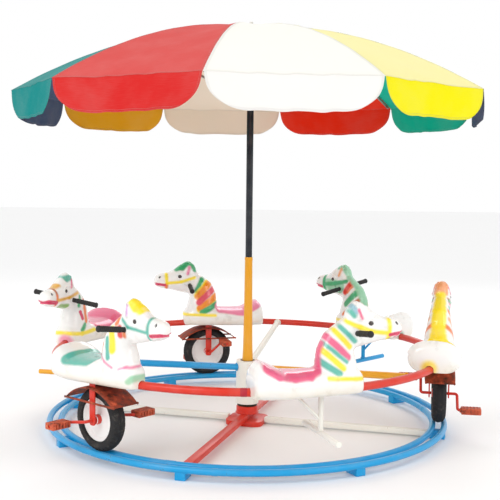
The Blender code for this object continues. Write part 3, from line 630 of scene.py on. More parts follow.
# One row a stroke: points (forward, height), half width, rise.
RELIEF = (
    (((0.232, 0.268), (0.222, 0.240)), 0.046, 0.0060), (((0.262, 0.303), (0.263, 0.303)), 0.020, -0.0032),
    (((0.240, 0.323), (0.262, 0.328), (0.284, 0.316)), 0.008, 0.0030),
    (((0.203, 0.368), (0.215, 0.322)), 0.0125, 0.0070),
    (((0.206, 0.358), (0.213, 0.330)), 0.0060, -0.0060), (((0.381, 0.300), (0.384, 0.296)), 0.015, 0.0030),
    (((0.379, 0.302), (0.383, 0.297)), 0.0065, -0.0060),
    (((0.410, 0.2575), (0.350, 0.2500)), 0.0035, -0.0034),
    (((0.404, 0.2650), (0.352, 0.2580)), 0.0055, 0.0022),
    (((0.402, 0.2490), (0.354, 0.2420)), 0.0050, 0.0018),
    (((0.341, 0.335), (0.340, 0.230)), 0.0100, 0.0020),
    (((0.335, 0.265), (0.254, 0.271), (0.174, 0.297)), 0.0085, 0.0018),
    (((0.230, 0.382), (0.200, 0.388), (0.168, 0.352)), 0.022, 0.0040),
    (((0.225, 0.372), (0.196, 0.360)), 0.0035, -0.0022),
    (((0.212, 0.392), (0.178, 0.350)), 0.0035, -0.0025), (((0.146, 0.318), (0.172, 0.262)), 0.0040, -0.0022),
    (((0.110, 0.282), (0.158, 0.200)), 0.0045, -0.0022), (((0.074, 0.250), (0.148, 0.165)), 0.0045, -0.0022),
    (((0.048, 0.205), (0.146, 0.128)), 0.0045, -0.0022), (((0.038, 0.162), (0.136, 0.100)), 0.0045, -0.0020),
    (((0.048, 0.122), (0.020, 0.084), (-0.050, 0.066), (-0.130, 0.070), (-0.205, 0.104)), 0.0065, 0.0030),
    (((0.048, 0.112), (0.020, 0.074), (-0.050, 0.056), (-0.130, 0.060), (-0.205, 0.092)), 0.0050, -0.0014),
)
for point in horse.data.vertices:
    place = Vector((point.co.x, point.co.z))
    rise = 0.0
    for line, width, height in RELIEF:
        away = min(stroke_distance(place, a, b) for a, b in zip(line, line[1:]))
        if away < width:
            rise += height * (1 - (away / width) ** 2) ** 2
    if rise:
        point.co += point.normal * rise
apply(horse, "SMOOTH", factor=0.4, iterations=1)
print("relief strokes:", len(RELIEF))

# %% [markdown]
# A round part is turned, as on a lathe: a circle is pulled up through the part's outline and scaled at
# each height. Turns are given in degrees, and places round the carousel as a radius and an azimuth.

# %% Helpers for round parts
def turned(degrees, axis="Z"):
    return Matrix.Rotation(math.radians(degrees), 4, axis)


def polar(radius, azimuth, height=0.0):
    angle = math.radians(azimuth)
    return Vector((radius * math.cos(angle), radius * math.sin(angle), height))


def lathe(name, outline, sides, ring=False):
    """Turned piece about Z: a circle pulled up through (radius, height), ring by ring."""
    radius, height = outline[0]
    item = start("circle", name, vertices=sides, radius=radius, location=(0, 0, height),
                 fill_type="NOTHING" if ring else "NGON")
    edit(item)
    for wide, high in outline[1:]:
        pull(z=high - height)
        scale((wide / radius, wide / radius, 1), (0, 0, high))
        radius, height = wide, high
    return tidy_skin(item)


def discard(*items):
    for item in items:
        bpy.data.objects.remove(item)


# %% [markdown]
# The red ring runs through every shell in a slot that is open below, and a bar goes through the neck.
# Boolean cutters make the holes, with the MANIFOLD solver, which copes with so fine a skin. Their faces
# carry the second material slot, so they can be found and deleted again. That leaves an open skin, and
# Solidify gives it the wall of a moulded shell.

# %% Horse: holes and wall
RING_RADIUS = 0.958
RING_TUBE = 0.018
HORSE_RADIUS = 0.946
HORSE_FLOOR = 0.349
RING_HEIGHT = 0.373
SLOT_HEIGHT = RING_HEIGHT - HORSE_FLOOR
BAR_LEAN = 8.0
BAR_MIDDLE = Vector((0.2033, 0.0, 0.2567))
bar_turn = Matrix.Translation(BAR_MIDDLE) @ turned(90 - BAR_LEAN, "X")
shell_slots = [bpy.data.materials.new("shell_side"), bpy.data.materials.new("cut_side")]


def cut(item, tool):
    for material in shell_slots:
        tool.data.materials.append(material)
    for face in tool.data.polygons:
        face.material_index = 1
    apply(item, "BOOLEAN", operation="DIFFERENCE", solver="MANIFOLD", object=tool)
    discard(tool)


def open_and_thicken(item):
    edit(item)
    count = pick(item, lambda face: face.material_index == 1)
    bpy.ops.mesh.delete(type="FACE")
    pick_all()
    bpy.ops.mesh.normals_make_consistent(inside=False)
    close_edit()
    apply(item, "SOLIDIFY", thickness=0.004, offset=-1.0)
    return count


for material in shell_slots:
    horse.data.materials.append(material)
unbarred = moved(horse, Matrix.Identity(4), "horse_without_bar")
hole = moved(lathe("bar_hole_tool", ((0.0123, -0.14), (0.0123, 0.14)), 32), bar_turn)
cut(horse, hole)
ground = start("cube", "ground_tool", size=1.0, stretch=(1.4, 1.4, 0.2), location=(0, 0, -0.0870))
notch = start("torus", "notch_tool", major_radius=RING_RADIUS, minor_radius=0.0205, major_segments=384,
              minor_segments=24, location=(0, HORSE_RADIUS, SLOT_HEIGHT))
edit(notch)
pick(notch, lambda point: point.co.z < SLOT_HEIGHT - 0.001, "VERT")
bpy.ops.transform.translate(value=(0, 0, -0.05))
close_edit()
for item in (horse, unbarred):
    cut(item, moved(ground, Matrix.Identity(4), "ground_cut"))
    cut(item, moved(notch, Matrix.Identity(4), "notch_cut"))
    print(item.name, "after the cuts:", len(item.data.polygons), "faces")
discard(ground, notch)
for item in (horse, unbarred):
    print(item.name, "cut faces opened:", open_and_thicken(item), "faces now:", len(item.data.polygons))
    place = item.data.attributes.new("shell_place", "FLOAT_VECTOR", "POINT")
    place.data.foreach_set("vector", [part for point in item.data.vertices for part in point.co])

# %% [markdown]
# The eyes are small lacquered domes. A ray cast from the side finds the skin that each one sits on.

# %% Horse: eyes
def towards(direction):
    """The turn that brings the Z axis round to a direction."""
    return direction.to_track_quat("Z", "Y").to_matrix().to_4x4()


eye_paint, tree, body, place = new_material("eye_lacquer", Roughness=0.12, Coat_Weight=0.8)
glaze = speckle(tree, place, 0.006)
tree.links.new(tint(tree, glaze, (0.012, 0.008, 0.006, 1), (0.055, 0.03, 0.02, 1)), body.inputs["Base Color"])
eyes = None
for side in (1, -1):
    _, spot, normal, _ = horse.ray_cast(Vector((0.262, side * 0.3, 0.303)), Vector((0, -side, 0)))
    dome = start("uv_sphere", "eye_dome", radius=0.0108, segments=28, ring_count=18)
    edit(dome)
    scale((1.15, 0.95, 0.62), (0, 0, 0))
    close_edit()
    moved(dome, Matrix.Translation(spot - normal * 0.001) @ towards(normal))
    eyes = join(eyes, dome) if eyes else dome
    print("eye at", [round(part, 4) for part in spot])

# %% [markdown]
# One sculpted shell serves all six horses. Each copy has a mesh and a paint of its own and stands square
# to the ring, at the azimuth read from the picture. The last one has no bar.

# %% Horses: six copies in their places
HORSE_AZIMUTHS = (42.0, 99.5, 158.5, 228.0, 285.0, 345.0)


def horse_place(azimuth):
    return Matrix.Translation(polar(HORSE_RADIUS, azimuth, HORSE_FLOOR)) @ turned(azimuth + 90)


for number, azimuth in enumerate(HORSE_AZIMUTHS, start=1):
    source = unbarred if number == 6 else horse
    shell = moved(source, horse_place(azimuth), "horse_body_%d" % number)
    finish(shell, "carousel", ["horse_%d" % number], horse_paint(number), angle=50)
    pair = moved(eyes, horse_place(azimuth), "horse_eyes_%d" % number)
    finish(pair, "carousel", paint=eye_paint)
discard(horse, unbarred, eyes)
print("horses:", len(HORSE_AZIMUTHS), "of", len(shell.data.polygons), "faces each")

# %% [markdown]
# Eight paints cover all the steel. They share the ageing group, so only their colours, the amount of
# chipping and the dust differ from one to the next.

# %% Paints for the frame
RED = enamel("red_enamel", (214, 44, 20), wear=0.4, dust=0.06)
AZURE = enamel("azure_enamel", (0, 154, 214), under=(0.09, 0.05, 0.03, 1), wear=0.6, dust=0.08)
SPOKE_BLUE = enamel("spoke_blue_enamel", (22, 154, 216), wear=0.3, dust=0.08)
CREAM = enamel("cream_enamel", (238, 236, 226), under=(0.16, 0.08, 0.04, 1), wear=0.45, dust=0.15)
YELLOW = enamel("yellow_enamel", (236, 164, 24), under=(0.14, 0.06, 0.02, 1), wear=0.3, dust=0.05)
NAVY = enamel("navy_enamel", (18, 30, 42), under=(0.20, 0.15, 0.11, 1), wear=0.2, dust=0.03)
DISC = enamel("disc_enamel", (242, 242, 240), under=(0.20, 0.10, 0.06, 1), wear=0.35, dust=0.08)
WELD_RED = enamel("crimson_touch_up", (176, 14, 44), wear=0.2, dust=0.02)
print("materials so far:", len(bpy.data.materials))

# %% [markdown]
# Bare and rusty metal, rubber and hard plastic need other recipes: rust is a mottle of three browns,
# rubber is nearly black with a grey bloom, and the grips carry a fine moulded grain.

# %% Rust, rubber, steel and grip materials
def mottled(name, dark, middle, light, size, metal=0.0, rough=(0.55, 0.9), bump=0.0006):
    material, tree, body, place = new_material(name, Metallic=metal)
    broad = speckle(tree, place, size, 6.0, 0.6)
    fine = speckle(tree, place, size / 12, 4.0, 0.6)
    mixed = weighed(tree, broad, 0.7, fine, 0.3)
    shade = tint(tree, spread(tree, mixed, 0.36, 0.52), rgb(*dark), rgb(*middle))
    shade = tint(tree, spread(tree, mixed, 0.52, 0.66), shade, rgb(*light))
    tree.links.new(shade, body.inputs["Base Color"])
    tree.links.new(spread(tree, mixed, 0.3, 0.7, *rough), body.inputs["Roughness"])
    raise_bump(tree, body, mixed, bump)
    return material


RUST = mottled("rusty_guard", (60, 38, 26), (146, 60, 36), (208, 92, 58), 0.03)
RUBBER = mottled("tyre_rubber", (24, 24, 26), (38, 37, 38), (74, 70, 66), 0.03, 0, (0.7, 0.95), 0.0003)
GRIP = mottled("grip_plastic", (20, 20, 22), (28, 27, 28), (54, 50, 48), 0.02, 0, (0.45, 0.7), 0.0002)
STEEL = mottled(
    "weathered_steel", (120, 116, 110), (168, 166, 162), (196, 194, 190), 0.03, 0.8, (0.3, 0.55), 0.0002)
DARK_STEEL = mottled("oily_steel", (30, 27, 24), (54, 48, 42), (92, 76, 60), 0.012, 0.7, (0.3, 0.6), 0.0002)
PEDAL = mottled("pedal_block", (120, 56, 36), (196, 84, 54), (222, 128, 92), 0.02, 0, (0.5, 0.85), 0.0003)
CAP = mottled("cap_white", (196, 194, 188), (226, 224, 218), (240, 239, 235), 0.02, 0, (0.35, 0.55), 0.0001)
print("materials now:", len(bpy.data.materials))

# %% [markdown]
# Steel bar comes in two kinds here. A flat one is a cube at its size with its edges bevelled. A round
# one is a circle pulled along each straight and spun round each bend.

# %% Helpers for bars
def block(name, low, high, bevel):
    low, high = Vector(low), Vector(high)
    item = start("cube", name, size=1, location=(low + high) / 2, stretch=high - low)
    edit(item)
    round_edges(bevel, 2)
    return tidy_skin(item)


def rod(name, points, radius, sides, bend=0.0, steps=5):
    """Bent bar: a circle pulled along each straight and spun round each bend."""
    points = [Vector(point) for point in points]
    heading = (points[1] - points[0]).normalized()
    item = start("circle", name, vertices=sides, radius=radius, location=points[0],
                 rotation=heading.to_track_quat("Z", "Y").to_euler(), fill_type="NOTHING")
    edit(item)
    at = points[0]
    for here, after in zip(points[1:], points[2:] + [None]):
        if after is None:
            pull(*(here - at))
            break
        leaving = (after - here).normalized()
        swing = heading.angle(leaving)
        back = bend * math.tan(swing / 2)
        pull(*(here - heading * back - at))
        at = here - heading * back
        axis = heading.cross(leaving).normalized()
        bpy.ops.mesh.spin(steps=steps, angle=-swing, center=at + axis.cross(heading) * bend, axis=axis)
        at = here + leaving * back
        heading = leaving
    pick_all()
    bpy.ops.mesh.fill_holes(sides=0)
    return tidy_skin(item)


# %% [markdown]
# The track is two round rails on eight flat feet. A torus primitive gives a rail at once; raised rings
# where the rolled lengths were butted and welded tell that it was made from bent tube.

# %% Track
RED_AZIMUTH = 74.0


def hoop(name, radius, tube, height, welds, bead=0.0011, segments=216, sides=20):
    """Round rail with a raised weld bead at each azimuth of welds."""
    item = start("torus", name, major_radius=radius, minor_radius=tube, major_segments=segments,
                 minor_segments=sides, location=(0, 0, height))
    edit(item)
    for weld in welds:
        way = polar(1.0, weld)
        side = Vector((-way.y, way.x, 0))

        def in_bead(face):
            middle = face.calc_center_median()
            return middle.dot(way) > 0 and abs(middle.dot(side)) < radius * math.pi / segments * 1.02

        pick(item, in_bead)
        bpy.ops.mesh.inset(thickness=0.004, use_even_offset=True)
        bpy.ops.transform.shrink_fatten(value=bead)
    return tidy_skin(item)


def weld_bead(name, radius, thick, matrix, sides=28):
    """Rippled fillet ring about Z, the trace of hand welding."""
    item = start("torus", name, major_radius=radius, minor_radius=thick, major_segments=sides,
                 minor_segments=8)
    edit(item)
    pick(item, lambda point: round(math.atan2(point.co.y, point.co.x) * sides / math.tau) % 2 == 0, "VERT")
    bpy.ops.transform.shrink_fatten(value=thick * 0.22)
    close_edit()
    return moved(item, matrix)


OUTER_RAIL, INNER_RAIL = 0.985 / math.cos(math.pi / 56), 0.931
RAIL_TUBE, RAIL_HEIGHT, FOOT_WELD = 0.015, 0.045, 0.9866
outer_rail = hoop("track", OUTER_RAIL, RAIL_TUBE, RAIL_HEIGHT, (20, 140, 262))
inner_rail = hoop("inner_rail", INNER_RAIL, RAIL_TUBE, RAIL_HEIGHT, (8, 128, 250))
pieces = [inner_rail]
for index in range(8):
    foot = block("foot", (0.915, -0.023, 0.0), (0.996, 0.023, 0.0405), 0.0025)
    swing = turned(RED_AZIMUTH + 45 * index)
    pieces.append(moved(foot, swing))
    for rail in (INNER_RAIL, FOOT_WELD):
        for side in (-1, 1):
            ends = [(rail + reach, side * 0.0235, 0.0375) for reach in (-0.010, 0.010)]
            pieces.append(moved(rod("bead", ends, 0.003, sides=8), swing))
track = finish(join(outer_rail, *pieces), "base", ["track_ring"], AZURE)
print("track faces:", len(track.data.polygons))

# %% [markdown]
# The cross on the floor is one long red bar over a plate and two white half bars. Each starts as a cube
# at its size, and a bevel gives the small radius that rolled steel has.

# %% Base cross, plate and socket
BAR_REACH = 0.9144
turned_bar = turned(RED_AZIMUTH)
bar = moved(block("red_bar", (-BAR_REACH, -0.020, 0.0253), (BAR_REACH, 0.020, 0.0503), 0.0022), turned_bar)
finish(bar, "base", ["base_bar_red"], RED)
for side, swing in (("right", -90), ("left", 90)):
    half = block("white_" + side, (0.0953, -0.020, 0.010), (BAR_REACH, 0.020, 0.035), 0.0022)
    half = moved(half, turned(RED_AZIMUTH + swing))
    finish(half, "base", ["base_bar_white_" + side], CREAM)
plate = start("cube", "plate", size=1, location=(0, 0, 0.0125), stretch=(0.190, 0.190, 0.025))
edit(plate)
for upright, width, steps in ((True, 0.045, 8), (False, 0.0018, 2)):
    pick(plate, lambda edge: (abs(edge.verts[0].co.z - edge.verts[1].co.z) > 0.01) == upright, "EDGE")
    round_edges(width, steps)
finish(moved(tidy_skin(plate), turned_bar), "base", ["centre_plate"], RED)
outline = ((0.0535, 0.0506), (0.055, 0.0525), (0.055, 0.083), (0.0535, 0.086), (0.050, 0.0885),
           (0.030, 0.089))
socket = lathe("socket", outline, 64)
foot_bead = weld_bead("socket_bead", 0.0552, 0.0035, Matrix.Translation((0, 0, 0.0535)), 56)
finish(join(socket, foot_bead), "base", ["centre_socket"], RED)
outline = ((0.0277, 0.0893), (0.0490, 0.0893), (0.050, 0.0903), (0.050, 0.1003), (0.0490, 0.1013),
           (0.0277, 0.1013), (0.0277, 0.0893))
thrust = lathe("thrust", outline, 64, ring=True)
finish(thrust, "base", ["thrust_ring"], DARK_STEEL)
print("thrust ring top at", round(max(point.co.z for point in thrust.data.vertices), 4))

# %% [markdown]
# The yellow post tapers from foot to mouth, and the dark umbrella pole stands in it. Both are turned
# shapes: a circle is pulled upwards and scaled at each height, which keeps the taper smooth.

# %% Post, pole and cap
outline = ((0.0272, 0.0893), (0.0272, 0.10), (0.0268, 0.33), (0.0240, 0.40), (0.0212, 0.60),
           (0.0196, 0.74), (0.0192, 0.828), (0.0202, 0.832), (0.0202, 0.842), (0.0192, 0.846),
           (0.0176, 0.846), (0.0174, 0.830))
post = lathe("post", outline, 56)
finish(post, "base", ["yellow_post"], YELLOW)
outline = ((0.0165, 0.697), (0.0170, 0.699), (0.0170, 1.2), (0.0170, 1.982), (0.0160, 1.9835))
pole = lathe("pole", outline, 48)
finish(pole, "base", ["umbrella_pole"], NAVY)
low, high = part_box("top_cap")
tall = high[2] - low[2]
wide = (high[0] - low[0]) / 2
shares = ((0.98, 0), (1, 0.10), (0.96, 0.2), (0.62, 0.32), (0.40, 0.46), (0.36, 0.66), (0.42, 0.80),
          (0.34, 0.94), (0.12, 1))
cap = lathe("cap", [(wide * out, low[2] + tall * up) for out, up in shares], 48)
finish(cap, "base", ["top_cap"], CAP)
print("cap", round(tall, 4), "tall and", round(wide * 2, 4), "wide")

# %% [markdown]
# The turning frame is a sleeve, three spokes and the ring. Every joint in tube gets a rippled weld bead:
# without it, pipes that only pass into each other look like a drawing.

# %% Sleeve, spokes and ring
outline = ((0.0380, 0.1016), (0.0560, 0.1016), (0.0575, 0.1030), (0.0575, 0.3195), (0.0563, 0.321),
           (0.0385, 0.321), (0.0380, 0.3205), (0.0380, 0.1016))
sleeve = lathe("sleeve", outline, 64, ring=True)
finish(sleeve, "carousel", ["hub_sleeve"], CREAM)
near = Vector((0.0560, 0, 0.288))
far = Vector((0.9400, 0, RING_HEIGHT))
along = (far - near).normalized()
rise = towards(along)
SPOKES = (("white", 79, CREAM, "cream_white"), ("blue", 199, SPOKE_BLUE, "spoke_blue"),
          ("yellow", 319, YELLOW, "post_yellow"))
for name, azimuth, paint, slot in SPOKES:
    spoke = rod("spoke_of_" + name, (near, far), 0.0165, sides=28)
    beads = [weld_bead("bead", 0.0175, 0.0032, Matrix.Translation(near + along * 0.0035) @ rise),
             weld_bead("bead", 0.0172, 0.0030, Matrix.Translation(far - along * 0.0045) @ rise)]
    spoke = moved(join(spoke, *beads), turned(azimuth))
    finish(spoke, "carousel", ["spoke_" + name], paint)
ring = hoop("ring", RING_RADIUS, RING_TUBE, RING_HEIGHT, (150, 269.5, 27), bead=0.0008)
finish(ring, "carousel", ["horse_ring"], RED)
ring.data.materials.append(WELD_RED)
TOUCH_UP = 90.5
for face in ring.data.polygons:
    if abs(math.degrees(math.atan2(face.center.y, face.center.x)) + TOUCH_UP) < 1.1:
        face.material_index = 1
print("ring faces:", len(ring.data.polygons))

# %% [markdown]
# Each horse but the last is steered by a bar through its neck. A black moulded grip covers each end,
# with raised rings to hold on to, so the outline is pulled up through many small steps.

# %% Handle bars
outline = [(0.0100, -0.190), (0.0125, -0.1895), (0.0142, -0.186), (0.0142, -0.182), (0.0122, -0.179)]
for ridge in range(9):
    base = -0.176 + ridge * 0.0105
    outline += [(0.0119, base), (0.0129, base + 0.002), (0.0129, base + 0.0055), (0.0119, base + 0.0075)]
outline += [(0.0124, -0.080), (0.0136, -0.077), (0.0136, -0.073), (0.0114, -0.070)]
outline += [(radius, -height) for radius, height in reversed(outline)]
grip = moved(lathe("handle", outline, 36), bar_turn)
for number, azimuth in enumerate(HORSE_AZIMUTHS[:5], start=1):
    handle = moved(grip, horse_place(azimuth), "handle_%d" % number)
    finish(handle, "carousel", ["handlebar_%d" % number], GRIP)
discard(grip)
print("handle rings:", len(outline))

# %% [markdown]
# Under every second horse hangs a footrest: a post from the ring, a round bar across it, and a thin
# brace. The bar's ends are closed and a little rounded.

# %% Footrests
FOOTRESTS = ((1, 45.6, SPOKE_BLUE, "spoke_blue"), (3, 166.6, YELLOW, "post_yellow"),
             (5, 288.6, CREAM, "cream_white"))
for number, azimuth, paint, slot in FOOTRESTS:
    ends = ((RING_RADIUS, 0, 0.197), (RING_RADIUS, 0, 0.356))
    rest = rod("footrest_of_%d" % number, ends, 0.0112, sides=24)
    bar = lathe("bar", ((0.010, 0.780), (0.0125, 0.7825), (0.0125, 1.1475), (0.010, 1.150)), 28)
    bar = moved(bar, Matrix.Translation((0, 0, 0.195)) @ turned(90, "Y"))
    brace = rod("brace", ((RING_RADIUS, 0, 0.250), (RING_RADIUS - 0.005, -0.100, 0.349)), 0.006, sides=14)
    beads = [weld_bead("bead", wide, 0.0026, Matrix.Translation((RING_RADIUS, 0, high)))
             for wide, high in ((0.0118, 0.2085), (0.0116, 0.3525))]
    rest = moved(join(rest, bar, brace, *beads), turned(azimuth))
    finish(rest, "carousel", ["footrest_%d" % number], paint)
print("footrest faces:", len(rest.data.polygons))

# %% [markdown]
# The wheels are small cycle wheels. The tyre starts as a torus, its inner side is pressed flat onto the
# rim, and the tread is cut inwards: grooves are faces that are picked by their place and pushed in.

# %% Wheels: tyre and disc
AXLE_HEIGHT = 0.19608
TYRE_MIDDLE, RIM_RADIUS, TREAD_BLOCKS = 0.109, 0.0984, 108
tyre = start("torus", "tyre_model", major_radius=TYRE_MIDDLE, minor_radius=0.034, major_segments=TREAD_BLOCKS,
             minor_segments=30)
for point in tyre.data.vertices:
    if math.hypot(point.co.x, point.co.y) < RIM_RADIUS:
        point.co.xy = point.co.xy.normalized() * RIM_RADIUS


def is_groove(face):
    middle = face.calc_center_median()
    column = int((math.atan2(middle.y, middle.x) + math.pi) / math.tau * TREAD_BLOCKS)
    outward = math.degrees(math.atan2(abs(middle.z), math.hypot(middle.x, middle.y) - TYRE_MIDDLE))
    return outward < 62 and (12 < outward < 22 or (outward >= 22 and column % 3 == 0))


edit(tyre)
print("groove faces:", pick(tyre, is_groove))
bpy.ops.mesh.extrude_region_shrink_fatten(TRANSFORM_OT_shrink_fatten={"value": -0.0016})
tidy_skin(tyre)
half = [(0.0073, 0.0358), (0.0190, 0.0358), (0.0215, 0.0340), (0.0220, 0.0300), (0.0220, 0.0130),
        (0.0260, 0.0085), (0.0420, 0.0068), (0.0560, 0.0085), (0.0700, 0.0068), (0.0790, 0.0064),
        (0.0830, 0.0100), (0.0870, 0.0160), (0.0910, 0.0195), (0.0955, 0.0205), (0.0975, 0.0190),
        (0.0980, 0.0150)]
far_half = [(radius, -height) for radius, height in reversed(half)]
disc = lathe("disc_model", half + far_half + [half[0]], 72, ring=True)


def axle_place(azimuth):
    return Matrix.Translation(polar(RING_RADIUS, azimuth, AXLE_HEIGHT)) @ turned(azimuth)


WHEELS = ((1, 105.0, -42.0), (2, 228.5, 190.0), (3, 350.5, 215.0))
HUB_REACH, HUB_FACE = 0.040, 0.012
upright = turned(90, "Y")
for number, azimuth, _ in WHEELS:
    body_name = "wheel_%d" % number
    piece = moved(tyre, axle_place(azimuth) @ upright, "tyre_of_%d" % number)
    finish(piece, body_name, ["tyre_%d" % number], RUBBER)
    piece = moved(disc, axle_place(azimuth) @ upright, "disc_of_%d" % number)
    finish(piece, body_name, ["wheel_disc_%d" % number], DISC)
    piece.data.materials.append(RED)
    for face in piece.data.polygons:
        out = face.center - polar(RING_RADIUS, azimuth, AXLE_HEIGHT)
        if out.length < HUB_REACH and abs(out.dot(polar(1.0, azimuth))) > HUB_FACE:
            face.material_index = 1
print("tyre faces:", len(tyre.data.polygons), "disc faces:", len(disc.data.polygons))
discard(tyre, disc)

# %% [markdown]
# A bent rod is axle and crank in one, as on a child's tricycle. It is pulled straight by straight and
# spun round each bend, exactly as a bender works. Each pedal is a grooved block that turns on its pin.

# %% Cranks and pedals
CRANK = 0.105
PIN_END, CRANK_SIDE = 0.195, 0.088
PEDAL_SLOTS, SLOT_STEP, SLOT_WIDTH = 0.1145, 0.016, 0.006
SLOT_CUTS = [PEDAL_SLOTS + SLOT_STEP * slot + side for slot in range(5) for side in (0, SLOT_WIDTH)]


def drill(item, radius, low, high, solver):
    """Bore a round hole through a piece along X."""
    bit = moved(lathe("drill", ((radius, low), (radius, high)), 24), turned(90, "Y"))
    apply(item, "BOOLEAN", operation="DIFFERENCE", solver=solver, object=bit)
    discard(bit)


def pin_place(angle, side):
    way = math.radians(angle if side > 0 else angle + 180)
    return Vector((0.0, CRANK * math.cos(way), CRANK * math.sin(way)))


pedal = start("cube", "pedal_model", size=1, location=(0.1515, 0, 0), stretch=(0.095, 0.058, 0.030))
edit(pedal)
round_edges(0.005, 3)
for cut_at in SLOT_CUTS:
    pick_all()
    bpy.ops.mesh.bisect(plane_co=(cut_at, 0, 0), plane_no=(1, 0, 0))


def in_slot(face):
    middle = face.calc_center_median()
    across = (middle.x - PEDAL_SLOTS) % SLOT_STEP
    on_skin = abs(middle.z) > 0.0149 or abs(middle.y) > 0.0289
    return PEDAL_SLOTS < middle.x < SLOT_CUTS[-1] and across < SLOT_WIDTH + 0.0002 and on_skin


print("pedal slot faces:", pick(pedal, in_slot))
bpy.ops.mesh.extrude_region_shrink_fatten(TRANSFORM_OT_shrink_fatten={"value": -0.004})
tidy_skin(pedal)
drill(pedal, 0.0076, 0.09, 0.22, "MANIFOLD")
outline = ((0.0078, 0.0985), (0.0115, 0.0985), (0.0120, 0.0995), (0.0120, 0.1030), (0.0078, 0.1030),
           (0.0078, 0.0985))
collar = lathe("collar", outline, 24, ring=True)
pedal = join(pedal, moved(collar, turned(90, "Y")))
for number, azimuth, angle in WHEELS:
    path = []
    for side in (-1, 1):
        end, knee = pin_place(angle, side), Vector((side * CRANK_SIDE, 0, 0))
        path.append([Vector((side * PIN_END, 0, 0)) + end, knee + end, knee])
    crank = rod("crank_of_%d" % number, path[0] + list(reversed(path[1])), 0.007, bend=0.013, sides=20)
    finish(moved(crank, axle_place(azimuth)), "wheel_%d" % number, ["crank_%d" % number], RED)
    for side, label in ((1, "outer"), (-1, "inner")):
        flip = turned(0 if side > 0 else 180)
        name = "pedal_%s_%d" % (label, number)
        piece = moved(pedal, axle_place(azimuth) @ Matrix.Translation(pin_place(angle, side)) @ flip,
                      "block_" + name)
        finish(piece, name, [name], PEDAL)
discard(pedal)

# %% [markdown]
# The fork is one flat strap bent over the ring. A thin face is pulled up, spun through a right angle,
# pulled across and brought down again. The guard above it is a sheet pressed to a curve, with rolled
# edges and two stays, and years outdoors have turned it brown.

# %% Forks and wheel guards
strap_face = start("plane", "fork_model", size=1, location=(-0.047, 0, -0.022), stretch=(0.006, 0.035, 1))
edit(strap_face)
top_of_strap = RING_HEIGHT + RING_TUBE + 0.0003 + 0.003 - AXLE_HEIGHT
bend_height = top_of_strap - 0.012
pull(z=bend_height + 0.022)
bpy.ops.mesh.spin(steps=6, angle=-math.pi / 2, center=(-0.035, 0, bend_height), axis=(0, 1, 0))
pull(x=0.070)
bpy.ops.mesh.spin(steps=6, angle=-math.pi / 2, center=(0.035, 0, bend_height), axis=(0, 1, 0))
pull(z=-(bend_height + 0.022))
pick(strap_face, lambda edge: all(point.co.z < -0.0219 for point in edge.verts)
     and abs(edge.verts[0].co.x - edge.verts[1].co.x) > 0.005, "EDGE")
round_edges(0.011, 5)
pick_all()
fork = tidy_skin(strap_face)
apply(fork, "BEVEL", width=0.0008, segments=2, limit_method="ANGLE")
drill(fork, 0.0078, -0.1, 0.1, "EXACT")
top = 0.3470 - AXLE_HEIGHT
GUARD_HALF, GUARD_DROP = 0.165, 0.066
guard = start("grid", "guard_model", size=1, x_subdivisions=24, y_subdivisions=48,
              stretch=(0.144, 2 * GUARD_HALF, 1))
for point in guard.data.vertices:
    x, y = point.co.x, point.co.y
    edge = max(0.0, abs(x) - 0.064) / 0.008
    dent = noise.noise(Vector((x * 18, y * 14, 3.1))) * 0.0016
    point.co.x = x * (1 - 0.10 * max(0.0, abs(y) / GUARD_HALF - 0.75) ** 2 * 8)
    arch = GUARD_DROP / GUARD_HALF ** 2 * y * y
    point.co.z = top - 0.0015 - arch - 0.004 * edge * edge + dent - 0.0015
apply(guard, "SOLIDIFY", thickness=0.0022, offset=-1.0)
stays = [block("stay", (low, -GUARD_HALF, top - 0.072), (low + 0.0055, GUARD_HALF, top - 0.063), 0.0012)
         for low in (-0.0715, 0.0660)]
guard = join(guard, *stays)
for number, azimuth, _ in WHEELS:
    finish(moved(fork, axle_place(azimuth), "fork_of_%d" % number), "carousel",
           ["fork_%d" % number], RED)
    finish(moved(guard, axle_place(azimuth), "guard_of_%d" % number), "carousel",
           ["mudguard_%d" % number], RUST)
print("fork faces:", len(fork.data.polygons), "guard faces:", len(guard.data.polygons))
discard(fork, guard)

# %% [markdown]
# Umbrella cloth is a plain weave with felled seams: two rows of stitches run beside every rib and one
# along each hem. The pattern follows the cloth through two UV maps, one in metres for the weave and one
# that holds the distance to the nearest seam and hem.

# %% Node group: sewn cloth
cloth_group, given, result = new_group(
    "sewn_cloth", [("Weave", "v"), ("Edge", "v"), ("Dye", "c"), ("Soil", "f")],
    [("Colour", "c"), ("Height", "f")])
t = cloth_group
THREADS, STITCHES = 4200.0, 1400.0  # radians a metre
weave = node(t, "SeparateXYZ", {0: given["Weave"]}).outputs
edge = node(t, "SeparateXYZ", {0: given["Edge"]}).outputs
across = calc(t, "SINE", times(t, weave[0], THREADS))
along = calc(t, "SINE", times(t, weave[1], THREADS))
threads = plus(t, times(t, times(t, across, along), 0.5), 0.5)
slubs = speckle(t, node(t, "Mapping", {"Vector": given["Weave"], "Scale": (1, 14, 1)}).outputs[0], 0.05, 3.0)
clouds = speckle(t, given["Weave"], 0.22, 3.0, 0.5)
nearest = calc(t, "MINIMUM", edge[0], edge[1])
fold = spread(t, nearest, 0.0105, 0.0125, 1.0, 0.0)


def stitch_row(distance):
    line = spread(t, calc(t, "ABSOLUTE", calc(t, "SUBTRACT", nearest, distance)), 0.0004, 0.0012, 1.0, 0.0)
    beat = weighed(t, weave[1], STITCHES, weave[0], STITCHES)
    return times(t, line, spread(t, calc(t, "SINE", beat), -0.3, 0.1))


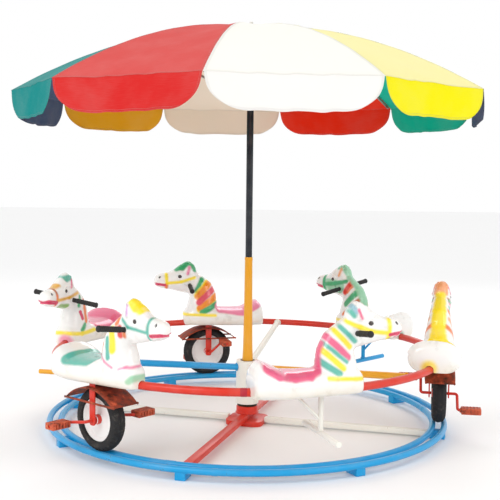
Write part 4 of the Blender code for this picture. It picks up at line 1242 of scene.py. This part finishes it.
stitches = calc(t, "MAXIMUM", stitch_row(0.003), stitch_row(0.0095))
uneven = spread(t, plus(t, clouds, times(t, slubs, 0.35)), 0.5, 0.95, 0.0, 0.10)
dyed = tint(t, uneven, given["Dye"], tint(t, 0.55, given["Dye"], (0.92, 0.90, 0.86, 1)))
dyed = tint(t, times(t, fold, 0.07), dyed, (0.05, 0.04, 0.04, 1))
dyed = tint(t, times(t, calc(t, "SUBTRACT", 1.0, threads), 0.05), dyed, (0.03, 0.03, 0.03, 1))
dyed = tint(t, times(t, spread(t, clouds, 0.55, 0.8), given["Soil"]), dyed, (0.42, 0.36, 0.28, 1))
t.links.new(tint(t, times(t, stitches, 0.25), dyed, (0.85, 0.83, 0.78, 1)), result["Colour"])
raised = weighed(t, threads, 0.30, fold, 0.8)
t.links.new(plus(t, raised, times(t, stitches, 0.9)), result["Height"])
print("cloth nodes:", len(cloth_group.nodes))

# %% [markdown]
# Thin cloth is also lit from behind, so each dye mixes a little Translucent into its shader. Seen from
# below, a panel looks another colour in that light and shade, painted on where a face looks inwards.
# Upward faces get a painted highlight.

# %% Five dyed cloths
def cloth(name, dye, underside_light_and_shade, painted_top_highlight=0.1, glow=0.25, soil=0.04):
    """Dyed cotton: a painted highlight on upward faces, painted light and shade inside, and some daylight
    through.
    """
    material, tree, body, place = new_material(name, Roughness=0.9, Specular_IOR_Level=0.2)
    weave = node(tree, "UVMap", uv_map="weave").outputs[0]
    edge = node(tree, "UVMap", uv_map="edge").outputs[0]
    facing = tree.nodes.new("ShaderNodeNewGeometry").outputs["Normal"]
    outward = vector(tree, "DOT_PRODUCT", facing, vector(tree, "SUBTRACT", place, (0.0, 0.0, 0.6)))
    # Painted highlight: upward faces are mixed towards pale cream, standing in for sunlight on the top.
    upward = spread(tree, node(tree, "SeparateXYZ", {0: facing}).outputs[2], 0.45, 0.92, 0.0, painted_top_highlight)
    dyed = tint(tree, upward, rgb(*dye), (1.0, 1.0, 0.93, 1))
    # Painted light and shade: faces that look inwards take the underside colour in place of the dye.
    dyed = tint(tree, spread(tree, outward, -0.02, 0.02, 1.0, 0.0), dyed, rgb(*underside_light_and_shade))
    out = placed(tree, cloth_group, {"Weave": weave, "Edge": edge, "Dye": dyed, "Soil": soil})
    tree.links.new(out["Colour"], body.inputs["Base Color"])
    raise_bump(tree, body, out["Height"], 0.0004)
    lit = node(tree, "BsdfTranslucent", {"Color": out["Colour"]})
    mixed = node(tree, "MixShader", {0: glow, 1: body.outputs[0], 2: lit.outputs[0]})
    tree.links.new(mixed.outputs[0], tree.nodes["Material Output"].inputs["Surface"])
    return material


CLOTHS = {
    "green": cloth("green_cloth", (0, 146, 144), (0, 206, 176), 0.06),
    "red": cloth("red_cloth", (222, 48, 46), (248, 58, 26), 0.09),
    "white": cloth("white_cloth", (252, 252, 250), (250, 238, 222), 0.5, soil=0.01),
    "yellow": cloth("yellow_cloth", (252, 248, 6), (240, 184, 40), 0.55, soil=0.02),
    "blue": cloth("blue_cloth", (26, 88, 138), (84, 102, 134), 0.08),
}
print("cloths:", ", ".join(CLOTHS))

# %% [markdown]
# The umbrella is ten gores sewn edge to edge over ten ribs. A gore is straight across from rib to rib at
# the rim and sags a little in between, so the points are worked out from the two ribs beside them. The
# seams pucker where the thread pulls, and the rim is drawn in between the rib tips.

# %% Umbrella: the curves of a gore and a skirt
GORES = ("green", "red", "white", "yellow", "blue") * 2
REACH = 1.161
GORE_WIDTH = 0.7175
CROWN_HEIGHT, CROWN_DROP = 1.993, 0.2522


def gore_point(number, across, down):
    radius = REACH * down
    height = CROWN_HEIGHT - CROWN_DROP * radius ** 2 - 0.003
    left, right = polar(radius, 9 + 36 * number, height), polar(radius, 45 + 36 * number, height)
    point = left.lerp(right, across)
    bow = 4 * across * (1 - across)
    edge = min(across, 1 - across) * (right - left).length
    point.z -= 0.014 * math.sin(math.pi * min(1.0, down * 0.92)) * bow
    point.z -= 0.0010 * (0.5 + 0.5 * math.sin(radius * math.tau / 0.05 + number)) * math.exp(-edge / 0.02)
    ripple = noise.noise(Vector((across * 5.0, down * 2.4, number * 3.7)))
    point.z += 0.0055 * ripple * bow * down
    point.z += 0.0020 * math.sin(across * 26 + ripple * 5) * bow * down ** 5
    inward = 0.012 * bow * down ** 8
    point.xy -= point.xy.normalized() * inward
    return point


def skirt_point(number, across, down):
    """A separate flap under each gore, narrower below and rounded at its lower corners."""
    inset = 0.004 + 0.030 * down + 0.105 * down ** 3.5
    share = 0.5 + (across - 0.5) * (1 - 2 * inset)
    point = gore_point(number, share, 1.0)
    outward = Vector((*point.xy.normalized(), 0))
    long = 0.143 * (1 - 0.10 * abs(2 * across - 1) ** 7)
    wave = math.sin(math.tau * 1.5 * across + number * 2.3) + 0.5 * math.sin(math.tau * 3.2 * across + number)
    point += outward * (-0.0016 + 0.009 * down + 0.0055 * down * wave)
    point.z += 0.0004 - long * down + 0.0012 * noise.noise(Vector((across * 9, down * 3, number)))
    return point


print("rim height at a rib:", round(gore_point(0, 0.0, 1.0).z, 3))

# %% [markdown]
# Sewing lays a grid of faces over each gore, writes the two UV maps from the same shares, gives each
# gore its cloth, and measures the area before the thin sheet gets its thickness. The skirts are hung
# from the rim one by one.

# %% Umbrella: cut, sewn and hung
def sew(name, numbers, columns, rows, spot, length, hem):
    """Grid of cloth over each gore number, with its weave and edge maps."""
    spots, faces = [], []
    for number in numbers:
        first = len(spots)
        spots += [spot(number, column / columns, row / rows)
                  for row in range(rows + 1) for column in range(columns + 1)]
        for row in range(rows):
            for column in range(columns):
                corner = first + row * (columns + 1) + column
                faces.append((corner, corner + 1, corner + columns + 2, corner + columns + 1))
    mesh = bpy.data.meshes.new(name)
    mesh.from_pydata(spots, [], faces)
    weave, edge = mesh.uv_layers.new(name="weave"), mesh.uv_layers.new(name="edge")
    per_gore = (columns + 1) * (rows + 1)
    for loop in mesh.loops:
        inside = loop.vertex_index % per_gore
        across, down = inside % (columns + 1) / columns, inside // (columns + 1) / rows
        wide = GORE_WIDTH * (down if hem > 1 else 1.0)
        weave.data[loop.index].uv = ((across - 0.5) * wide, down * length)
        to_hem = (1 - down) * length if down or hem < 1 else 1.0
        edge.data[loop.index].uv = (min(across, 1 - across) * wide, to_hem)
    for index, face in enumerate(mesh.polygons):
        face.material_index = index // (columns * rows) % 5
    item = bpy.data.objects.new(name, mesh)
    bpy.context.scene.collection.objects.link(item)
    for number in numbers[:5]:
        mesh.materials.append(CLOTHS[GORES[number]])
    area = sum(face.area for face in mesh.polygons)
    edit(item)
    bpy.ops.mesh.remove_doubles(threshold=0.00002)
    bpy.ops.mesh.normals_make_consistent(inside=False)
    close_edit()
    apply(item, "SOLIDIFY", thickness=0.0010, offset=0.0)
    return item, area


canopy, area = sew("umbrella_cloth", range(10), 24, 30, gore_point, 1.21, 2)
finish(canopy, "base", ["canopy"], angle=60)
print("umbrella cloth:", round(area, 3), "square metres,", len(canopy.data.polygons), "faces")
for number in range(10):
    skirt, area = sew("skirt_%d" % (number + 1), [number], 30, 10, skirt_point, 0.143, 0)
    finish(skirt, "base", ["canopy_skirt"], angle=60)
print("each skirt:", round(area, 4), "square metres")

# %% [markdown]
# The ribs, the stretchers and the dark bush keep their measured solids. They only need metal that is
# not one flat grey, so their material slots are filled with the steels made above.

# %% Metal on the measured ribs and bush
for name, steel in (("rib_frame", STEEL), ("stretcher_frame", STEEL), ("hub_bush", DARK_STEEL)):
    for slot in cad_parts[name].material_slots:
        slot.material = steel
    print(name, "slots:", len(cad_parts[name].material_slots))

# %% Finish
SIZES = {"cad": CAD_BOX, "visual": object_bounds()}
json.loads(json.dumps(SIZES, default=list))
